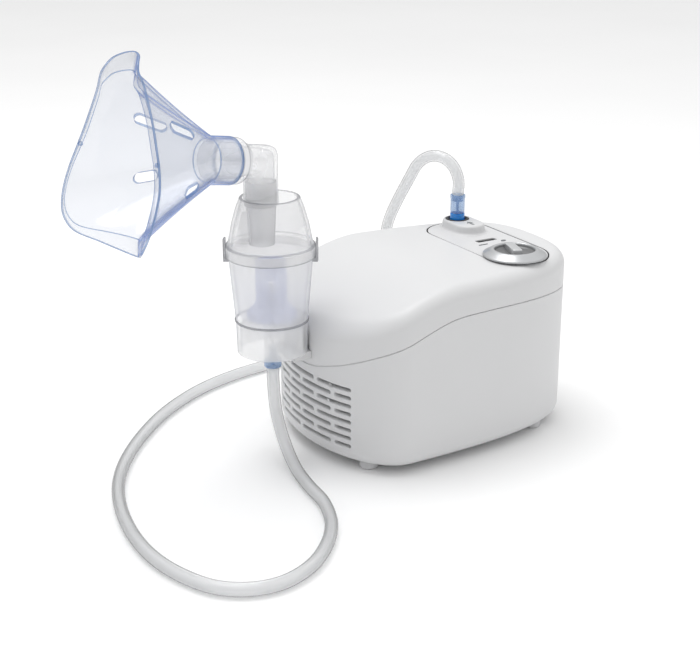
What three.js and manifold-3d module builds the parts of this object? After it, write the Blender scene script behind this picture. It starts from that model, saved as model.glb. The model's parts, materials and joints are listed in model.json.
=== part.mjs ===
// Tabletop compressor nebulizer: compressor unit, nebulizer kit, elbow, face mask and air tube.
// Millimetres, +Z up. The compressor's nose points to -X and its control side faces -Y.
import * as THREE from 'three';
import { mergeVertices } from 'three/addons/utils/BufferGeometryUtils.js';
import Module from 'manifold-3d';

const wasm = await Module();
wasm.setup();

// ---------------------------------------------------------------- driving dimensions
const GAP = 0.3; // clearance between neighbouring pieces

// compressor case
const CASE_HALF_LENGTH = 80;
const CASE_HALF_WIDTH = 62;
const NOSE_DEPTH = 34.75; // semi-axis of the elliptical nose along X
const TAIL_REACH = { side: 73.8, end: 36.8 }; // Bezier handles of the side and tail curve
const WALL = 2.4;
const CASE_BOTTOM = 5;
const BOTTOM_ROUND = 6;
const TOP_ROUND = 8;
const DECK = { plateau: 103.2, drop: 27, start: -12, power: 1.7, crown: 1.2 };
const SEAM_LINE = [[-80, 52.5], [-76, 57.8], [-65, 66.8], [-46, 75.2], [-21, 83.6], [0, 84.8], [40, 83.8], [80, 82]];

// control panel
const PANEL = { x: 41.9, y: -0.7, halfWidth: 19.1, halfLength: 45.9, floor: 98.2, seat: 95.8 };
const KNOB = { x: 38.5, y: -32.7, radius: 18, base: 103.5, stem: 3.2, turn: 110 };
const OUTLET = { x: 44.5, y: 33, radius: 6.9, top: 108.6 };
const BOSS = { x: 45, y: 27.2, halfWidth: 9.5, halfLength: 15.2 };
const WINDOW = { x: 43, y: 1, length: 13.6, width: 4.2 };

// ventilation grille round the nose
const GRILLE = { rows: 8, low: 14.2, pitch: 4.66, height: 1.9, slot: 25.6, bridge: 3, span: 83 };

// motor and compressor, on a shaft along X
const SHAFT = { y: 0, z: 42, radius: 2 };
const STROKE = 8;
const CYLINDER = { x: 26, bore: 10.2, outer: 12.3, low: 57.3, high: 84 };
const HEAD_SIDE = 28;

// nebulizer kit, on a vertical axis in front of the nose
const KIT_X = -97.2;
const CHIMNEY_OFFSET = -5;
const CHIMNEY_TOP = 156.2;
const SKIRT_BOTTOM = 61.8;

// elbow and mask
const ELBOW_TURN = 13; // degrees from -X towards -Y
const ARM_RISE = 10;
const ARM_HEIGHT = 166.5;
const MASK_PORT = { start: 20.5, end: 34.5, outer: 12.4, inner: 11.2 };
const MASK_WALL = 1.5;
const MASK_LIP = { side: 3.2, tips: 8.2, spread: 10 }; // the flat lip round the rim is wider at nose and chin
// Half of the rim's outer edge from the nose to the chin: across, up, and out along the arm.
const MASK_RIM = [
  [0, 50.3, 84], [6, 49, 85.5], [10.4, 46, 88.6], [13.4, 42, 90.2], [17.1, 38, 89.9], [20.7, 30, 88.8],
  [25.5, 20, 88.2], [29.9, 10, 88.2], [34.3, 0, 88.5], [37.6, -10, 89.6], [38.5, -20, 91.3], [37.6, -28, 92.3],
  [35.2, -34, 92.4], [29.5, -40, 90.3], [16.5, -44, 81.7], [0, -48, 72],
];

// air tube
const TUBE_RADIUS = 3.4;

const X = new THREE.Vector3(1, 0, 0);
const Y = new THREE.Vector3(0, 1, 0);
const Z = new THREE.Vector3(0, 0, 1);
const ALONG_X = new THREE.Matrix4().makeBasis(Y, Z, X); // a section in Y-Z, swept along X
const ALONG_Y = new THREE.Matrix4().makeBasis(Z, X, Y); // a section in Z-X, swept along Y
const radians = THREE.MathUtils.degToRad;

// ---------------------------------------------------------------- solids from three.js geometry
function toSolid(geometry, matrix) {
  const bare = new THREE.BufferGeometry();
  bare.setAttribute('position', geometry.getAttribute('position').clone());
  bare.setIndex(geometry.getIndex());
  if (matrix) bare.applyMatrix4(matrix);
  const merged = mergeVertices(bare, 1e-4);
  const points = merged.getAttribute('position').array;
  const corners = merged.getIndex().array;
  const faces = [];
  let volume = 0;
  for (let i = 0; i < corners.length; i += 3) {
    const [a, b, c] = [corners[i], corners[i + 1], corners[i + 2]];
    if (a === b || b === c || c === a) continue;
    faces.push([a, b, c]);
    const p = new THREE.Vector3().fromArray(points, 3 * a);
    const q = new THREE.Vector3().fromArray(points, 3 * b);
    const r = new THREE.Vector3().fromArray(points, 3 * c);
    volume += p.dot(q.cross(r));
  }
  if (volume < 0) faces.forEach((face) => face.reverse());
  return new wasm.Manifold(new wasm.Mesh({
    numProp: 3,
    vertProperties: new Float32Array(points),
    triVerts: Uint32Array.from(faces.flat()),
  }));
}

function toGeometry(solid) {
  const mesh = solid.getMesh();
  const geometry = new THREE.BufferGeometry();
  geometry.setAttribute('position', new THREE.BufferAttribute(new Float32Array(mesh.vertProperties), 3));
  geometry.setIndex(new THREE.BufferAttribute(new Uint32Array(mesh.triVerts), 1));
  geometry.computeVertexNormals();
  return geometry;
}

const fuse = (first, ...rest) => rest.reduce((whole, piece) => whole.add(piece), first);
const cut = (first, ...tools) => tools.reduce((whole, tool) => whole.subtract(tool), first);
const at = (x, y, z) => new THREE.Matrix4().makeTranslation(x, y, z);

function box(lowX, highX, lowY, highY, lowZ, highZ) {
  const geometry = new THREE.BoxGeometry(highX - lowX, highY - lowY, highZ - lowZ);
  const centre = at((lowX + highX) / 2, (lowY + highY) / 2, (lowZ + highZ) / 2);
  return toSolid(geometry, centre);
}

// A profile of [radius, height] points turned about Z. An open profile starts and ends on the axis;
// one that stays clear of the axis is closed on itself.
function turned(profile, segments, matrix) {
  const points = profile.map(([radius, height]) => new THREE.Vector2(radius, height));
  const last = points[points.length - 1];
  if (points[0].x > 0 || last.x > 0) points.push(points[0].clone());
  const geometry = new THREE.LatheGeometry(points, segments);
  geometry.rotateX(Math.PI / 2);
  return toSolid(geometry, matrix);
}

// A flat outline swept from one height to another.
function prism(outline, low, high, matrix, holes = []) {
  const shape = new THREE.Shape(outline.map(([x, y]) => new THREE.Vector2(x, y)));
  shape.holes = holes.map((hole) => new THREE.Path(hole.map(([x, y]) => new THREE.Vector2(x, y))));
  const geometry = new THREE.ExtrudeGeometry(shape, { depth: high - low, bevelEnabled: false });
  geometry.translate(0, 0, low);
  return toSolid(geometry, matrix);
}

// Rings of the same number of points joined into a skin. The ends are capped, or the last ring
// is joined back to the first.
function skin(rings, looped = false) {
  const count = rings[0].length;
  const points = rings.flat();
  const faces = [];
  const bands = looped ? rings.length : rings.length - 1;
  for (let band = 0; band < bands; band += 1) {
    const next = (band + 1) % rings.length;
    for (let i = 0; i < count; i += 1) {
      const j = (i + 1) % count;
      const [a, b, c, d] = [band * count + i, band * count + j, next * count + j, next * count + i];
      faces.push(a, b, c, a, c, d);
    }
  }
  if (!looped) {
    [rings[0], rings[rings.length - 1]].forEach((ring, end) => {
      const centre = ring.reduce((sum, p) => sum.add(p), new THREE.Vector3()).divideScalar(count);
      const hub = points.push(centre) - 1;
      const start = end ? (rings.length - 1) * count : 0;
      for (let i = 0; i < count; i += 1) {
        const j = (i + 1) % count;
        faces.push(hub, start + (end ? i : j), start + (end ? j : i));
      }
    });
  }
  const geometry = new THREE.BufferGeometry();
  geometry.setAttribute('position', new THREE.Float32BufferAttribute(points.flatMap((p) => p.toArray()), 3));
  geometry.setIndex(faces);
  return toSolid(geometry);
}

function circle(x, y, radius, count) {
  return Array.from({ length: count }, (_, i) => {
    const angle = (2 * Math.PI * i) / count;
    return [x + radius * Math.cos(angle), y + radius * Math.sin(angle)];
  });
}

// A racetrack with its long axis along Y.
function racetrack(x, y, halfWidth, halfLength, count = 10) {
  const straight = halfLength - halfWidth;
  const outline = [];
  for (let i = 0; i <= count; i += 1) {
    const angle = (Math.PI * i) / count;
    outline.push([x + halfWidth * Math.cos(angle), y + straight + halfWidth * Math.sin(angle)]);
  }
  return outline.concat(outline.map(([px, py]) => [2 * x - px, 2 * y - py]));
}

// A sector of a ring, from one angle to another in degrees.
function sector(x, y, inner, outer, from, to, low, high, steps = 6) {
  const ray = (radius, i) => {
    const angle = radians(from + ((to - from) * i) / steps);
    return [x + radius * Math.cos(angle), y + radius * Math.sin(angle)];
  };
  const outward = Array.from({ length: steps + 1 }, (_, i) => ray(outer, i));
  const inward = Array.from({ length: steps + 1 }, (_, i) => ray(inner, steps - i));
  return prism(outward.concat(inward), low, high);
}

// A round cord swept along a smooth curve through its points.
function cord(points, radius, sides, steps) {
  const curve = new THREE.CatmullRomCurve3(points.map((p) => new THREE.Vector3(...p)), false, 'centripetal');
  const section = new THREE.Shape(circle(0, 0, radius, sides).map(([x, y]) => new THREE.Vector2(x, y)));
  return toSolid(new THREE.ExtrudeGeometry(section, { steps, bevelEnabled: false, extrudePath: curve }));
}

// ---------------------------------------------------------------- the model's tree and its materials
const device = new THREE.Group();

const finish = (colour, roughness, metalness = 0, opacity = 1) => () => new THREE.MeshStandardMaterial({
  color: colour, roughness, metalness, opacity, transparent: opacity < 1,
});
const WHITE = finish(0xe9ebec, 0.35);
const SILVER = finish(0x9a9da0, 0.4, 0.3);
const DARK = finish(0x1d1f22, 0.5);
const FROSTED = finish(0xdfe3e6, 0.35, 0, 0.6);
const CLEAR = finish(0xe6ecf4, 0.15, 0, 0.35);
const BLUE = finish(0x4f8fd8, 0.3, 0, 0.85);
const RUBBER = finish(0xb9bcbe, 0.8);
const BLACK_RUBBER = finish(0x222222, 0.85);
const STEEL = finish(0xa6a8aa, 0.35, 0.9);
const ALUMINIUM = finish(0xb8babd, 0.45, 0.8);
const COPPER = finish(0xb4653a, 0.4, 0.6);
const BRASS = finish(0xb59a57, 0.4, 0.8);
const SILICONE = finish(0xd9d4c8, 0.6);
const FELT = finish(0xf1f0ea, 0.95);

function add(name, solid, material, parent = device) {
  const mesh = new THREE.Mesh(toGeometry(solid), material());
  mesh.name = name;
  parent.add(mesh);
  return mesh;
}

// ---------------------------------------------------------------- case outline and skins
const noseCentre = NOSE_DEPTH - CASE_HALF_LENGTH;
const sideCurve = new THREE.CubicBezierCurve(
  new THREE.Vector2(CASE_HALF_LENGTH, 0),
  new THREE.Vector2(CASE_HALF_LENGTH, TAIL_REACH.end),
  new THREE.Vector2(TAIL_REACH.side, CASE_HALF_WIDTH),
  new THREE.Vector2(noseCentre, CASE_HALF_WIDTH),
);

// The plan outline, counterclockwise from the middle of the tail.
function caseOutline() {
  const half = sideCurve.getSpacedPoints(12);
  const noseSteps = 8;
  for (let i = 1; i <= noseSteps; i += 1) {
    const angle = Math.PI / 2 + (Math.PI / 2) * (i / noseSteps);
    half.push(new THREE.Vector2(noseCentre + NOSE_DEPTH * Math.cos(angle), CASE_HALF_WIDTH * Math.sin(angle)));
  }
  const mirrored = half.slice(1, -1).reverse().map((p) => new THREE.Vector2(p.x, -p.y));
  return half.concat(mirrored);
}

function inset(outline, distance) {
  return outline.map((p, i) => {
    const before = outline[(i + outline.length - 1) % outline.length];
    const after = outline[(i + 1) % outline.length];
    const along = after.clone().sub(before).normalize();
    return new THREE.Vector2(p.x - along.y * distance, p.y + along.x * distance);
  });
}

// Height of the case's top surface: a level plateau that falls in a swoop to the nose.
function deckHeight(x, y) {
  const fall = Math.max(0, (DECK.start - x) / (CASE_HALF_LENGTH + DECK.start));
  const crown = DECK.crown * (y / 55) ** 2;
  return DECK.plateau - DECK.drop * fall ** DECK.power - crown;
}

// A closed body bounded by the case's surface moved inwards by the wall thickness.
function caseBody(wall) {
  const outline = inset(caseOutline(), wall);
  const bottom = CASE_BOTTOM + wall;
  const lowRound = BOTTOM_ROUND - wall;
  const topRound = TOP_ROUND - wall;
  const spine = outline.map((p) => new THREE.Vector2(THREE.MathUtils.clamp(p.x, -50, 38), 0));
  const level = (flat, z) => flat.map((p) => new THREE.Vector3(p.x, p.y, z));
  const onDeck = (flat, down) => flat.map((p) => new THREE.Vector3(p.x, p.y, deckHeight(p.x, p.y) - wall - down));
  const rings = [level(spine, bottom)];
  [0, 45, 90].forEach((degrees) => {
    const angle = radians(degrees);
    rings.push(level(inset(outline, lowRound * (1 - Math.sin(angle))), bottom + lowRound * (1 - Math.cos(angle))));
  });
  [0, 30, 60, 90].forEach((degrees) => {
    const angle = radians(degrees);
    rings.push(onDeck(inset(outline, topRound * (1 - Math.cos(angle))), topRound * (1 - Math.sin(angle))));
  });
  const edge = inset(outline, topRound);
  [0.3, 0.65, 1].forEach((share) => {
    rings.push(onDeck(edge.map((p, i) => p.clone().lerp(spine[i], share)), 0));
  });
  return skin(rings);
}

// Everything below the seam between the lower case and the top cover, shifted by a small lift.
function belowSeam(lift) {
  const shape = new THREE.Shape();
  shape.moveTo(-130, -20);
  shape.lineTo(-130, SEAM_LINE[0][1] + lift);
  shape.lineTo(SEAM_LINE[0][0], SEAM_LINE[0][1] + lift);
  shape.splineThru(SEAM_LINE.slice(1).map(([x, z]) => new THREE.Vector2(x, z + lift)));
  shape.lineTo(130, SEAM_LINE[SEAM_LINE.length - 1][1] + lift);
  shape.lineTo(130, -20);
  const geometry = new THREE.ExtrudeGeometry(shape, { depth: 160, bevelEnabled: false, curveSegments: 3 });
  geometry.translate(0, 0, -80);
  geometry.rotateX(Math.PI / 2);
  return toSolid(geometry);
}

const outerBody = caseBody(0);
const shell = cut(outerBody, caseBody(WALL));

// ---------------------------------------------------------------- lower case
// Grille slots follow the nose; rows alternate whole slots and half slots like bricks.
function grilleSlots() {
  const nose = Array.from({ length: 121 }, (_, i) => {
    const angle = Math.PI / 2 + (Math.PI * i) / 120;
    return new THREE.Vector2(noseCentre + NOSE_DEPTH * Math.cos(angle), CASE_HALF_WIDTH * Math.sin(angle));
  });
  const travelled = [0];
  nose.forEach((p, i) => {
    if (i) travelled.push(travelled[i - 1] + p.distanceTo(nose[i - 1]));
  });
  const middle = travelled[60];
  const pointAt = (distance, offset) => {
    const i = THREE.MathUtils.clamp(travelled.findIndex((t) => t > middle + distance), 1, 119);
    const along = nose[i].clone().sub(nose[i - 1]).normalize();
    const share = (middle + distance - travelled[i - 1]) / (travelled[i] - travelled[i - 1]);
    const p = nose[i - 1].clone().lerp(nose[i], share);
    return [p.x + along.y * offset, p.y - along.x * offset];
  };
  const slots = [];
  for (let row = 0; row < GRILLE.rows; row += 1) {
    const z = GRILLE.low + row * GRILLE.pitch;
    let start = -GRILLE.span / 2;
    const lengths = row % 2 ? [GRILLE.slot, GRILLE.slot, GRILLE.slot]
      : [GRILLE.slot / 2 - 1.5, GRILLE.slot, GRILLE.slot, GRILLE.slot / 2 - 1.5];
    lengths.forEach((length) => {
      const steps = Math.max(1, Math.round(length / 13));
      const distances = Array.from({ length: steps + 1 }, (_, i) => start + (length * i) / steps);
      const outside = distances.map((d) => pointAt(d, 3));
      const inside = distances.map((d) => pointAt(d, -5)).reverse();
      slots.push(prism(outside.concat(inside), z - GRILLE.height / 2, z + GRILLE.height / 2));
      start += length + GRILLE.bridge;
    });
  }
  return slots;
}

const POSTS = [[-44, -50], [-44, 50], [58, -34], [58, 34]];
const FEET = [[-60, -40], [-60, 40], [50, -40], [50, 40]];
const MOTOR_MOUNTS = [[-19, -36], [-19, 14], [-3, -36], [-3, 14]];
const POST = { radius: 4.5, joint: 30, screw: 1.8, head: 3.4 };

const postLow = ([x, y]) => prism(circle(x, y, POST.radius, 16), CASE_BOTTOM + 0.5, POST.joint);
const postHigh = ([x, y]) => prism(circle(x, y, POST.radius, 16), POST.joint + GAP, 110).intersect(outerBody);
const screwHole = ([x, y]) => prism(circle(x, y, POST.screw, 12), 0, 50);
const headRecess = ([x, y]) => prism(circle(x, y, POST.head, 16), 0, 9.6);
const footHole = ([x, y]) => prism(circle(x, y, 2.8, 12), 0, 12);
const mountPost = ([x, y]) => prism(circle(x, y, 5, 16), CASE_BOTTOM + 0.5, 13.7);
const INLET = { low: 16, high: 34, halfWidth: 12, face: 80 };
const FILTER = { z: 62, radius: 9.5 };
const inletWindow = box(70, 90, -INLET.halfWidth - GAP, INLET.halfWidth + GAP, INLET.low - GAP, INLET.high + GAP);
const filterWindow = prism(circle(0, FILTER.z, FILTER.radius + GAP, 24), 70, 90, ALONG_X);

const lowerCase = cut(
  fuse(shell.intersect(belowSeam(0)), ...POSTS.map(postLow), ...MOTOR_MOUNTS.map(mountPost)),
  ...grilleSlots(),
  ...POSTS.map(screwHole),
  ...POSTS.map(headRecess),
  ...FEET.map(footHole),
  inletWindow,
  filterWindow,
);
add('lower_case', lowerCase, WHITE);

FEET.forEach(([x, y], i) => {
  const foot = turned([[0, 0], [4.4, 0], [5.3, 1], [5.3, 4.7], [2.5, 4.7], [2.5, 10], [0, 10]], 12, at(x, y, 0));
  add(`foot_${i + 1}`, foot, RUBBER);
});

POSTS.forEach(([x, y], i) => {
  const screw = turned([[0, 7.2], [3, 7.2], [3, 9.3], [1.5, 9.3], [1.5, 48], [0, 48]], 8, at(x, y, 0));
  add(`case_screw_${i + 1}`, screw, STEEL);
});

// ---------------------------------------------------------------- top cover
// A hollow in the nose lets the kit's skirt nest against the case.
const nestCut = prism(circle(KIT_X, 0, 19.9, 48), SKIRT_BOTTOM - 0.6, 120);
const nestBacking = prism(circle(KIT_X, 0, 22.3, 48), 54, 120).intersect(outerBody);
const holderWindow = box(-100, -70, -11 - GAP, 11 + GAP, 57.1, 61.6);
const seat = prism(racetrack(PANEL.x, PANEL.y, PANEL.halfWidth + 2.6, PANEL.halfLength + 2.6),
  PANEL.seat, 120);
const pocket = prism(racetrack(PANEL.x, PANEL.y, PANEL.halfWidth + GAP, PANEL.halfLength + GAP),
  PANEL.floor - GAP, 120);
const knobHole = prism(circle(KNOB.x, KNOB.y, KNOB.stem + 0.4, 16), 90, 120);
const outletHole = prism(circle(OUTLET.x, OUTLET.y, OUTLET.radius + GAP, 28), 90, 120);
const windowHole = box(
  WINDOW.x - WINDOW.length / 2, WINDOW.x + WINDOW.length / 2,
  WINDOW.y - WINDOW.width / 2, WINDOW.y + WINDOW.width / 2, 90, 120,
);

const topCover = cut(
  fuse(cut(shell, belowSeam(GAP)), seat.intersect(outerBody), nestBacking.subtract(belowSeam(GAP)),
    ...POSTS.map(postHigh)),
  nestCut,
  holderWindow,
  pocket,
  knobHole,
  outletHole,
  windowHole,
  filterWindow,
  ...POSTS.map(screwHole),
);
add('top_cover', topCover, WHITE);

// ---------------------------------------------------------------- kit holder
const kitHolder = fuse(
  box(-74.2, -72.2, -14, 14, 54.6, 65),
  box(-90, -73, -11, 11, 57.4, 61.3),
  sector(KIT_X, 0, 13.4, 16.4, -34, 34, 60, 73.5),
);
add('kit_holder', kitHolder, WHITE);

// ---------------------------------------------------------------- control panel, knob and outlet
const panelPlate = prism(racetrack(PANEL.x, PANEL.y, PANEL.halfWidth, PANEL.halfLength), PANEL.floor, 120)
  .intersect(outerBody);
const bossRing = (grow, z) => racetrack(BOSS.x, BOSS.y, BOSS.halfWidth + grow, BOSS.halfLength + grow)
  .map(([x, y]) => new THREE.Vector3(x, y, z));
const outletBoss = skin([bossRing(0, 101), bossRing(-0.6, 104), bossRing(-1.1, 107.4), bossRing(-1.8, 108.2)]);
add('control_panel', cut(fuse(panelPlate, outletBoss), knobHole, outletHole, windowHole), WHITE);

add('indicator_lens', box(
  WINDOW.x - WINDOW.length / 2 + GAP, WINDOW.x + WINDOW.length / 2 - GAP,
  WINDOW.y - WINDOW.width / 2 + GAP, WINDOW.y + WINDOW.width / 2 - GAP, 95, 100.6,
), DARK);

const knobBody = turned([
  [0, 92], [KNOB.stem, 92], [KNOB.stem, KNOB.base], [KNOB.radius, KNOB.base], [KNOB.radius, 104.1],
  [14.2, 107.2], [13, 107.5], [11.8, 107], [10.6, 104.7], [0, 104.5],
], 36, at(KNOB.x, KNOB.y, 0));
const bladeSide = [[-10.8, 104], [6, 104], [6, 107.6], [5.4, 108.2], [-10.8, 107.4]];
const blade = prism(bladeSide, -2.7, 2.7, new THREE.Matrix4()
  .makeTranslation(KNOB.x, KNOB.y, 0)
  .multiply(new THREE.Matrix4().makeRotationZ(radians(-KNOB.turn)))
  .multiply(new THREE.Matrix4().makeRotationX(Math.PI / 2)));
add('power_knob', fuse(knobBody, blade), SILVER);

const switchBody = box(KNOB.x - 8.5, KNOB.x + 8.5, KNOB.y - 8.5, KNOB.y + 8.5, 76, PANEL.seat - 0.6);
const switchBore = prism(circle(KNOB.x, KNOB.y, KNOB.stem + GAP, 16), 90, 100);
add('rotary_switch', cut(switchBody, switchBore), DARK);

const outletSocket = turned([
  [1.2, 80], [2.6, 80], [2.6, 91.5], [OUTLET.radius, 91.5], [OUTLET.radius, OUTLET.top],
  [4.95, OUTLET.top], [4.95, 99.6], [1.2, 99.6],
], 24, at(OUTLET.x, OUTLET.y, 0));
add('outlet_socket', outletSocket, DARK);

// ---------------------------------------------------------------- mains inlet at the tail
const inletBody = box(64, INLET.face - 0.4, -INLET.halfWidth, INLET.halfWidth, INLET.low, INLET.high);
const inletCavity = box(69, 90, -8.6, 8.6, 20.4, 29.6);
add('mains_inlet', inletBody.subtract(inletCavity), DARK);
[['left', -4.3], ['right', 4.3]].forEach(([side, y]) => {
  const pin = prism(circle(y, 25, 1.2, 10), 69 + GAP, 77.5, ALONG_X);
  add(`inlet_pin_${side}`, pin, STEEL);
});

// ---------------------------------------------------------------- intake filter at the tail
const filterAxis = at(0, 0, FILTER.z).multiply(ALONG_X);
const filterHousing = turned([
  [1.4, 62], [2.6, 62], [2.6, 66], [FILTER.radius, 66], [FILTER.radius, 78.6], [8.3, 78.6], [8.3, 68], [1.4, 68],
], 16, filterAxis);
add('filter_housing', filterHousing, WHITE);
add('air_filter', prism(circle(0, 0, 7.9, 20), 68.5, 74, filterAxis), FELT);
const filterCap = turned([
  [0, 74.6], [6.4, 74.6], [7.9, 74.6], [7.9, 79], [9.3, 79], [9.3, 80.4], [8.4, 81.2], [0, 81.2],
], 20, filterAxis);
const capGrip = box(80.8, 83, -6, 6, FILTER.z - 1.2, FILTER.z + 1.2);
const capHoles = [-4.5, 4.5].map((dz) => box(70, 90, -3, 3, FILTER.z + dz - 0.8, FILTER.z + dz + 0.8));
add('filter_cover', cut(fuse(filterCap, capGrip), ...capHoles), WHITE);

// ---------------------------------------------------------------- motor
const STATOR = { front: -24, rear: 2 };
const statorOutline = [[-42, 20], [20, 20], [20, 64], [-42, 64]];
const coilWindow = [[-31.7, 31], [-17.5, 31], [-17.5, 53], [-31.7, 53]];
const boltPlaces = [[17, 24], [17, 60]];
const stator = prism(statorOutline, STATOR.front, STATOR.rear, ALONG_X, [
  coilWindow,
  circle(SHAFT.y, SHAFT.z, 14.4, 20),
  ...boltPlaces.map(([y, z]) => circle(y, z, 1.8, 10)),
]);
add('stator', stator, STEEL);

const winding = cut(
  box(-32, 10, -50, -24, 32, 52),
  box(STATOR.front - GAP, STATOR.rear + GAP, -42 - GAP, -31.7 + GAP, 20, 64),
);
add('motor_winding', winding, COPPER);

// A bearing bracket: a plate across the shaft with two legs that reach the stator's face.
function bearingBracket(plateLow, plateHigh, legLow, legHigh) {
  const plate = prism([[-10, 22], [20, 22], [20, 62], [-10, 62]], plateLow, plateHigh, ALONG_X, [
    circle(SHAFT.y, SHAFT.z, 5.3, 20),
    ...boltPlaces.map(([y, z]) => circle(y, z, 1.8, 10)),
  ]);
  const legs = [[22, 27.6], [56.4, 62]].map(([low, high]) => {
    const leg = box(legLow, legHigh, -10, 20, low, high);
    return cut(leg, ...boltPlaces.map(([y, z]) => prism(circle(y, z, 1.8, 10), legLow - 1, legHigh + 1, ALONG_X)));
  });
  return fuse(plate, ...legs);
}
add('front_bracket', bearingBracket(-34, -31, -31.5, STATOR.front - GAP), ALUMINIUM);

// The rear bracket also carries the cylinder on a shelf over the crank.
const shelf = cut(
  box(11, CYLINDER.x + 16, -15, 15, 57, 60),
  prism(circle(CYLINDER.x, 0, CYLINDER.outer + GAP + 0.2, 20), 50, 70),
);
const headScrews = [[CYLINDER.x - 11.2, 11.2], [CYLINDER.x + 11.2, -11.2]];
const screwWays = headScrews.map(([x, y]) => prism(circle(x, y, 1.6, 10), 50, 100));
add('compressor_frame', cut(fuse(bearingBracket(9, 12, STATOR.rear + GAP, 9.5), shelf), ...screwWays), ALUMINIUM);

const shaftLine = at(0, SHAFT.y, SHAFT.z).multiply(ALONG_X);
const bush = (low, high) => turned([[SHAFT.radius + GAP, low], [5, low], [5, high], [SHAFT.radius + GAP, high]],
  20, shaftLine);
add('front_bush', bush(-35, -30), BRASS);
add('rear_bush', bush(8.5, 13), BRASS);
boltPlaces.forEach(([y, z], i) => {
  const bolt = turned([[0, -36.6], [2.8, -36.6], [2.8, -34.3], [1.5, -34.3], [1.5, 14], [0, 14]], 10,
    at(0, y, z).multiply(ALONG_X));
  add(`motor_bolt_${i + 1}`, bolt, STEEL);
});
MOTOR_MOUNTS.forEach(([x, y], i) => {
  add(`motor_mount_${i + 1}`, prism(circle(x, y, 4.6, 16), 14, 19.7), BLACK_RUBBER);
});

// ---------------------------------------------------------------- rotor, fan and crank
const rotorGroup = new THREE.Group();
rotorGroup.position.set(0, SHAFT.y, SHAFT.z);
device.add(rotorGroup);
add('motor_shaft', prism(circle(0, 0, SHAFT.radius, 16), -52, 18, ALONG_X), STEEL, rotorGroup);
const sleeve = (inner, outer, low, high, count) => turned(
  [[inner, low], [outer, low], [outer, high], [inner, high]], count, ALONG_X);
add('rotor_core', sleeve(SHAFT.radius + GAP, 13.9, -25, 3, 20), STEEL, rotorGroup);

const FAN = { low: -50, high: -41, hub: 6, tip: 21, blades: 7, pitch: 32 };
const fanBlades = Array.from({ length: FAN.blades }, (_, i) => {
  const blade = new THREE.BoxGeometry(1.4, FAN.tip - FAN.hub + 1, 9.6);
  blade.rotateY(radians(FAN.pitch));
  blade.translate(0, (FAN.tip + FAN.hub - 1) / 2, (FAN.low + FAN.high) / 2);
  return toSolid(blade, ALONG_X.clone().multiply(new THREE.Matrix4().makeRotationZ((2 * Math.PI * i) / FAN.blades)));
});
const fanHub = prism(circle(0, 0, FAN.hub, 20), FAN.low, FAN.high, ALONG_X);
const fanBore = prism(circle(0, 0, SHAFT.radius + GAP, 16), -60, -30, ALONG_X);
add('cooling_fan', cut(fuse(fanHub, ...fanBlades), fanBore), DARK, rotorGroup);

const throwRadius = STROKE / 2;
const crank = fuse(
  prism(circle(0, 0, 9, 20), 15, 21.4, ALONG_X),
  prism(circle(0, throwRadius, 3, 16), 21, 30.5, ALONG_X),
  prism([[-8.5, 0], [-6, -13], [6, -13], [8.5, 0]], 15, 21.4, ALONG_X),
);
add('crank_disc', cut(crank, prism(circle(0, 0, SHAFT.radius + GAP, 16), 10, 18.4, ALONG_X)), STEEL, rotorGroup);

const rodGroup = new THREE.Group();
rodGroup.position.set(CYLINDER.x, SHAFT.y, SHAFT.z + throwRadius);
device.add(rodGroup);
const ROD_LENGTH = 24;
const rod = cut(
  fuse(
    prism(circle(0, 0, 6.5, 16), -3.5, 3.5, ALONG_X),
    prism([[-2.2, 5], [2.2, 5], [1.8, ROD_LENGTH - 2], [-1.8, ROD_LENGTH - 2]], -2.5, 2.5, ALONG_X),
    prism(circle(0, ROD_LENGTH, 3.4, 12), -3.5, 3.5, ALONG_X),
  ),
  prism(circle(0, 0, 3 + GAP, 16), -5, 5, ALONG_X),
  prism(circle(0, ROD_LENGTH, 1.8, 12), -5, 5, ALONG_X),
);
add('connecting_rod', rod, ALUMINIUM, rodGroup);
add('wrist_pin', prism(circle(0, ROD_LENGTH, 1.5, 12), -5, 5, ALONG_X), STEEL, rodGroup);

// ---------------------------------------------------------------- piston, cylinder and head
const cylinderAxis = at(CYLINDER.x, 0, 0);
const piston = turned([
  [0, 81.9], [8.2, 81.9], [8.2, 67], [9.9, 67], [9.9, 78.6], [9, 78.6], [9, 80.6], [9.9, 80.6],
  [9.9, 83.1], [0, 83.1],
], 20, cylinderAxis);
add('piston', piston, ALUMINIUM);
add('piston_ring', turned([[9.3, 78.9], [10, 78.9], [10, 80.3], [9.3, 80.3]], 20, cylinderAxis), DARK);
const cylinder = turned([
  [CYLINDER.bore + GAP - 0.1, CYLINDER.low], [CYLINDER.outer, CYLINDER.low], [CYLINDER.outer, 60.3], [14, 60.3],
  [14, 62.3], [CYLINDER.outer, 62.3], [CYLINDER.outer, CYLINDER.high], [CYLINDER.bore + GAP - 0.1, CYLINDER.high],
], 20, cylinderAxis);
add('cylinder', cylinder, ALUMINIUM);

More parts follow.
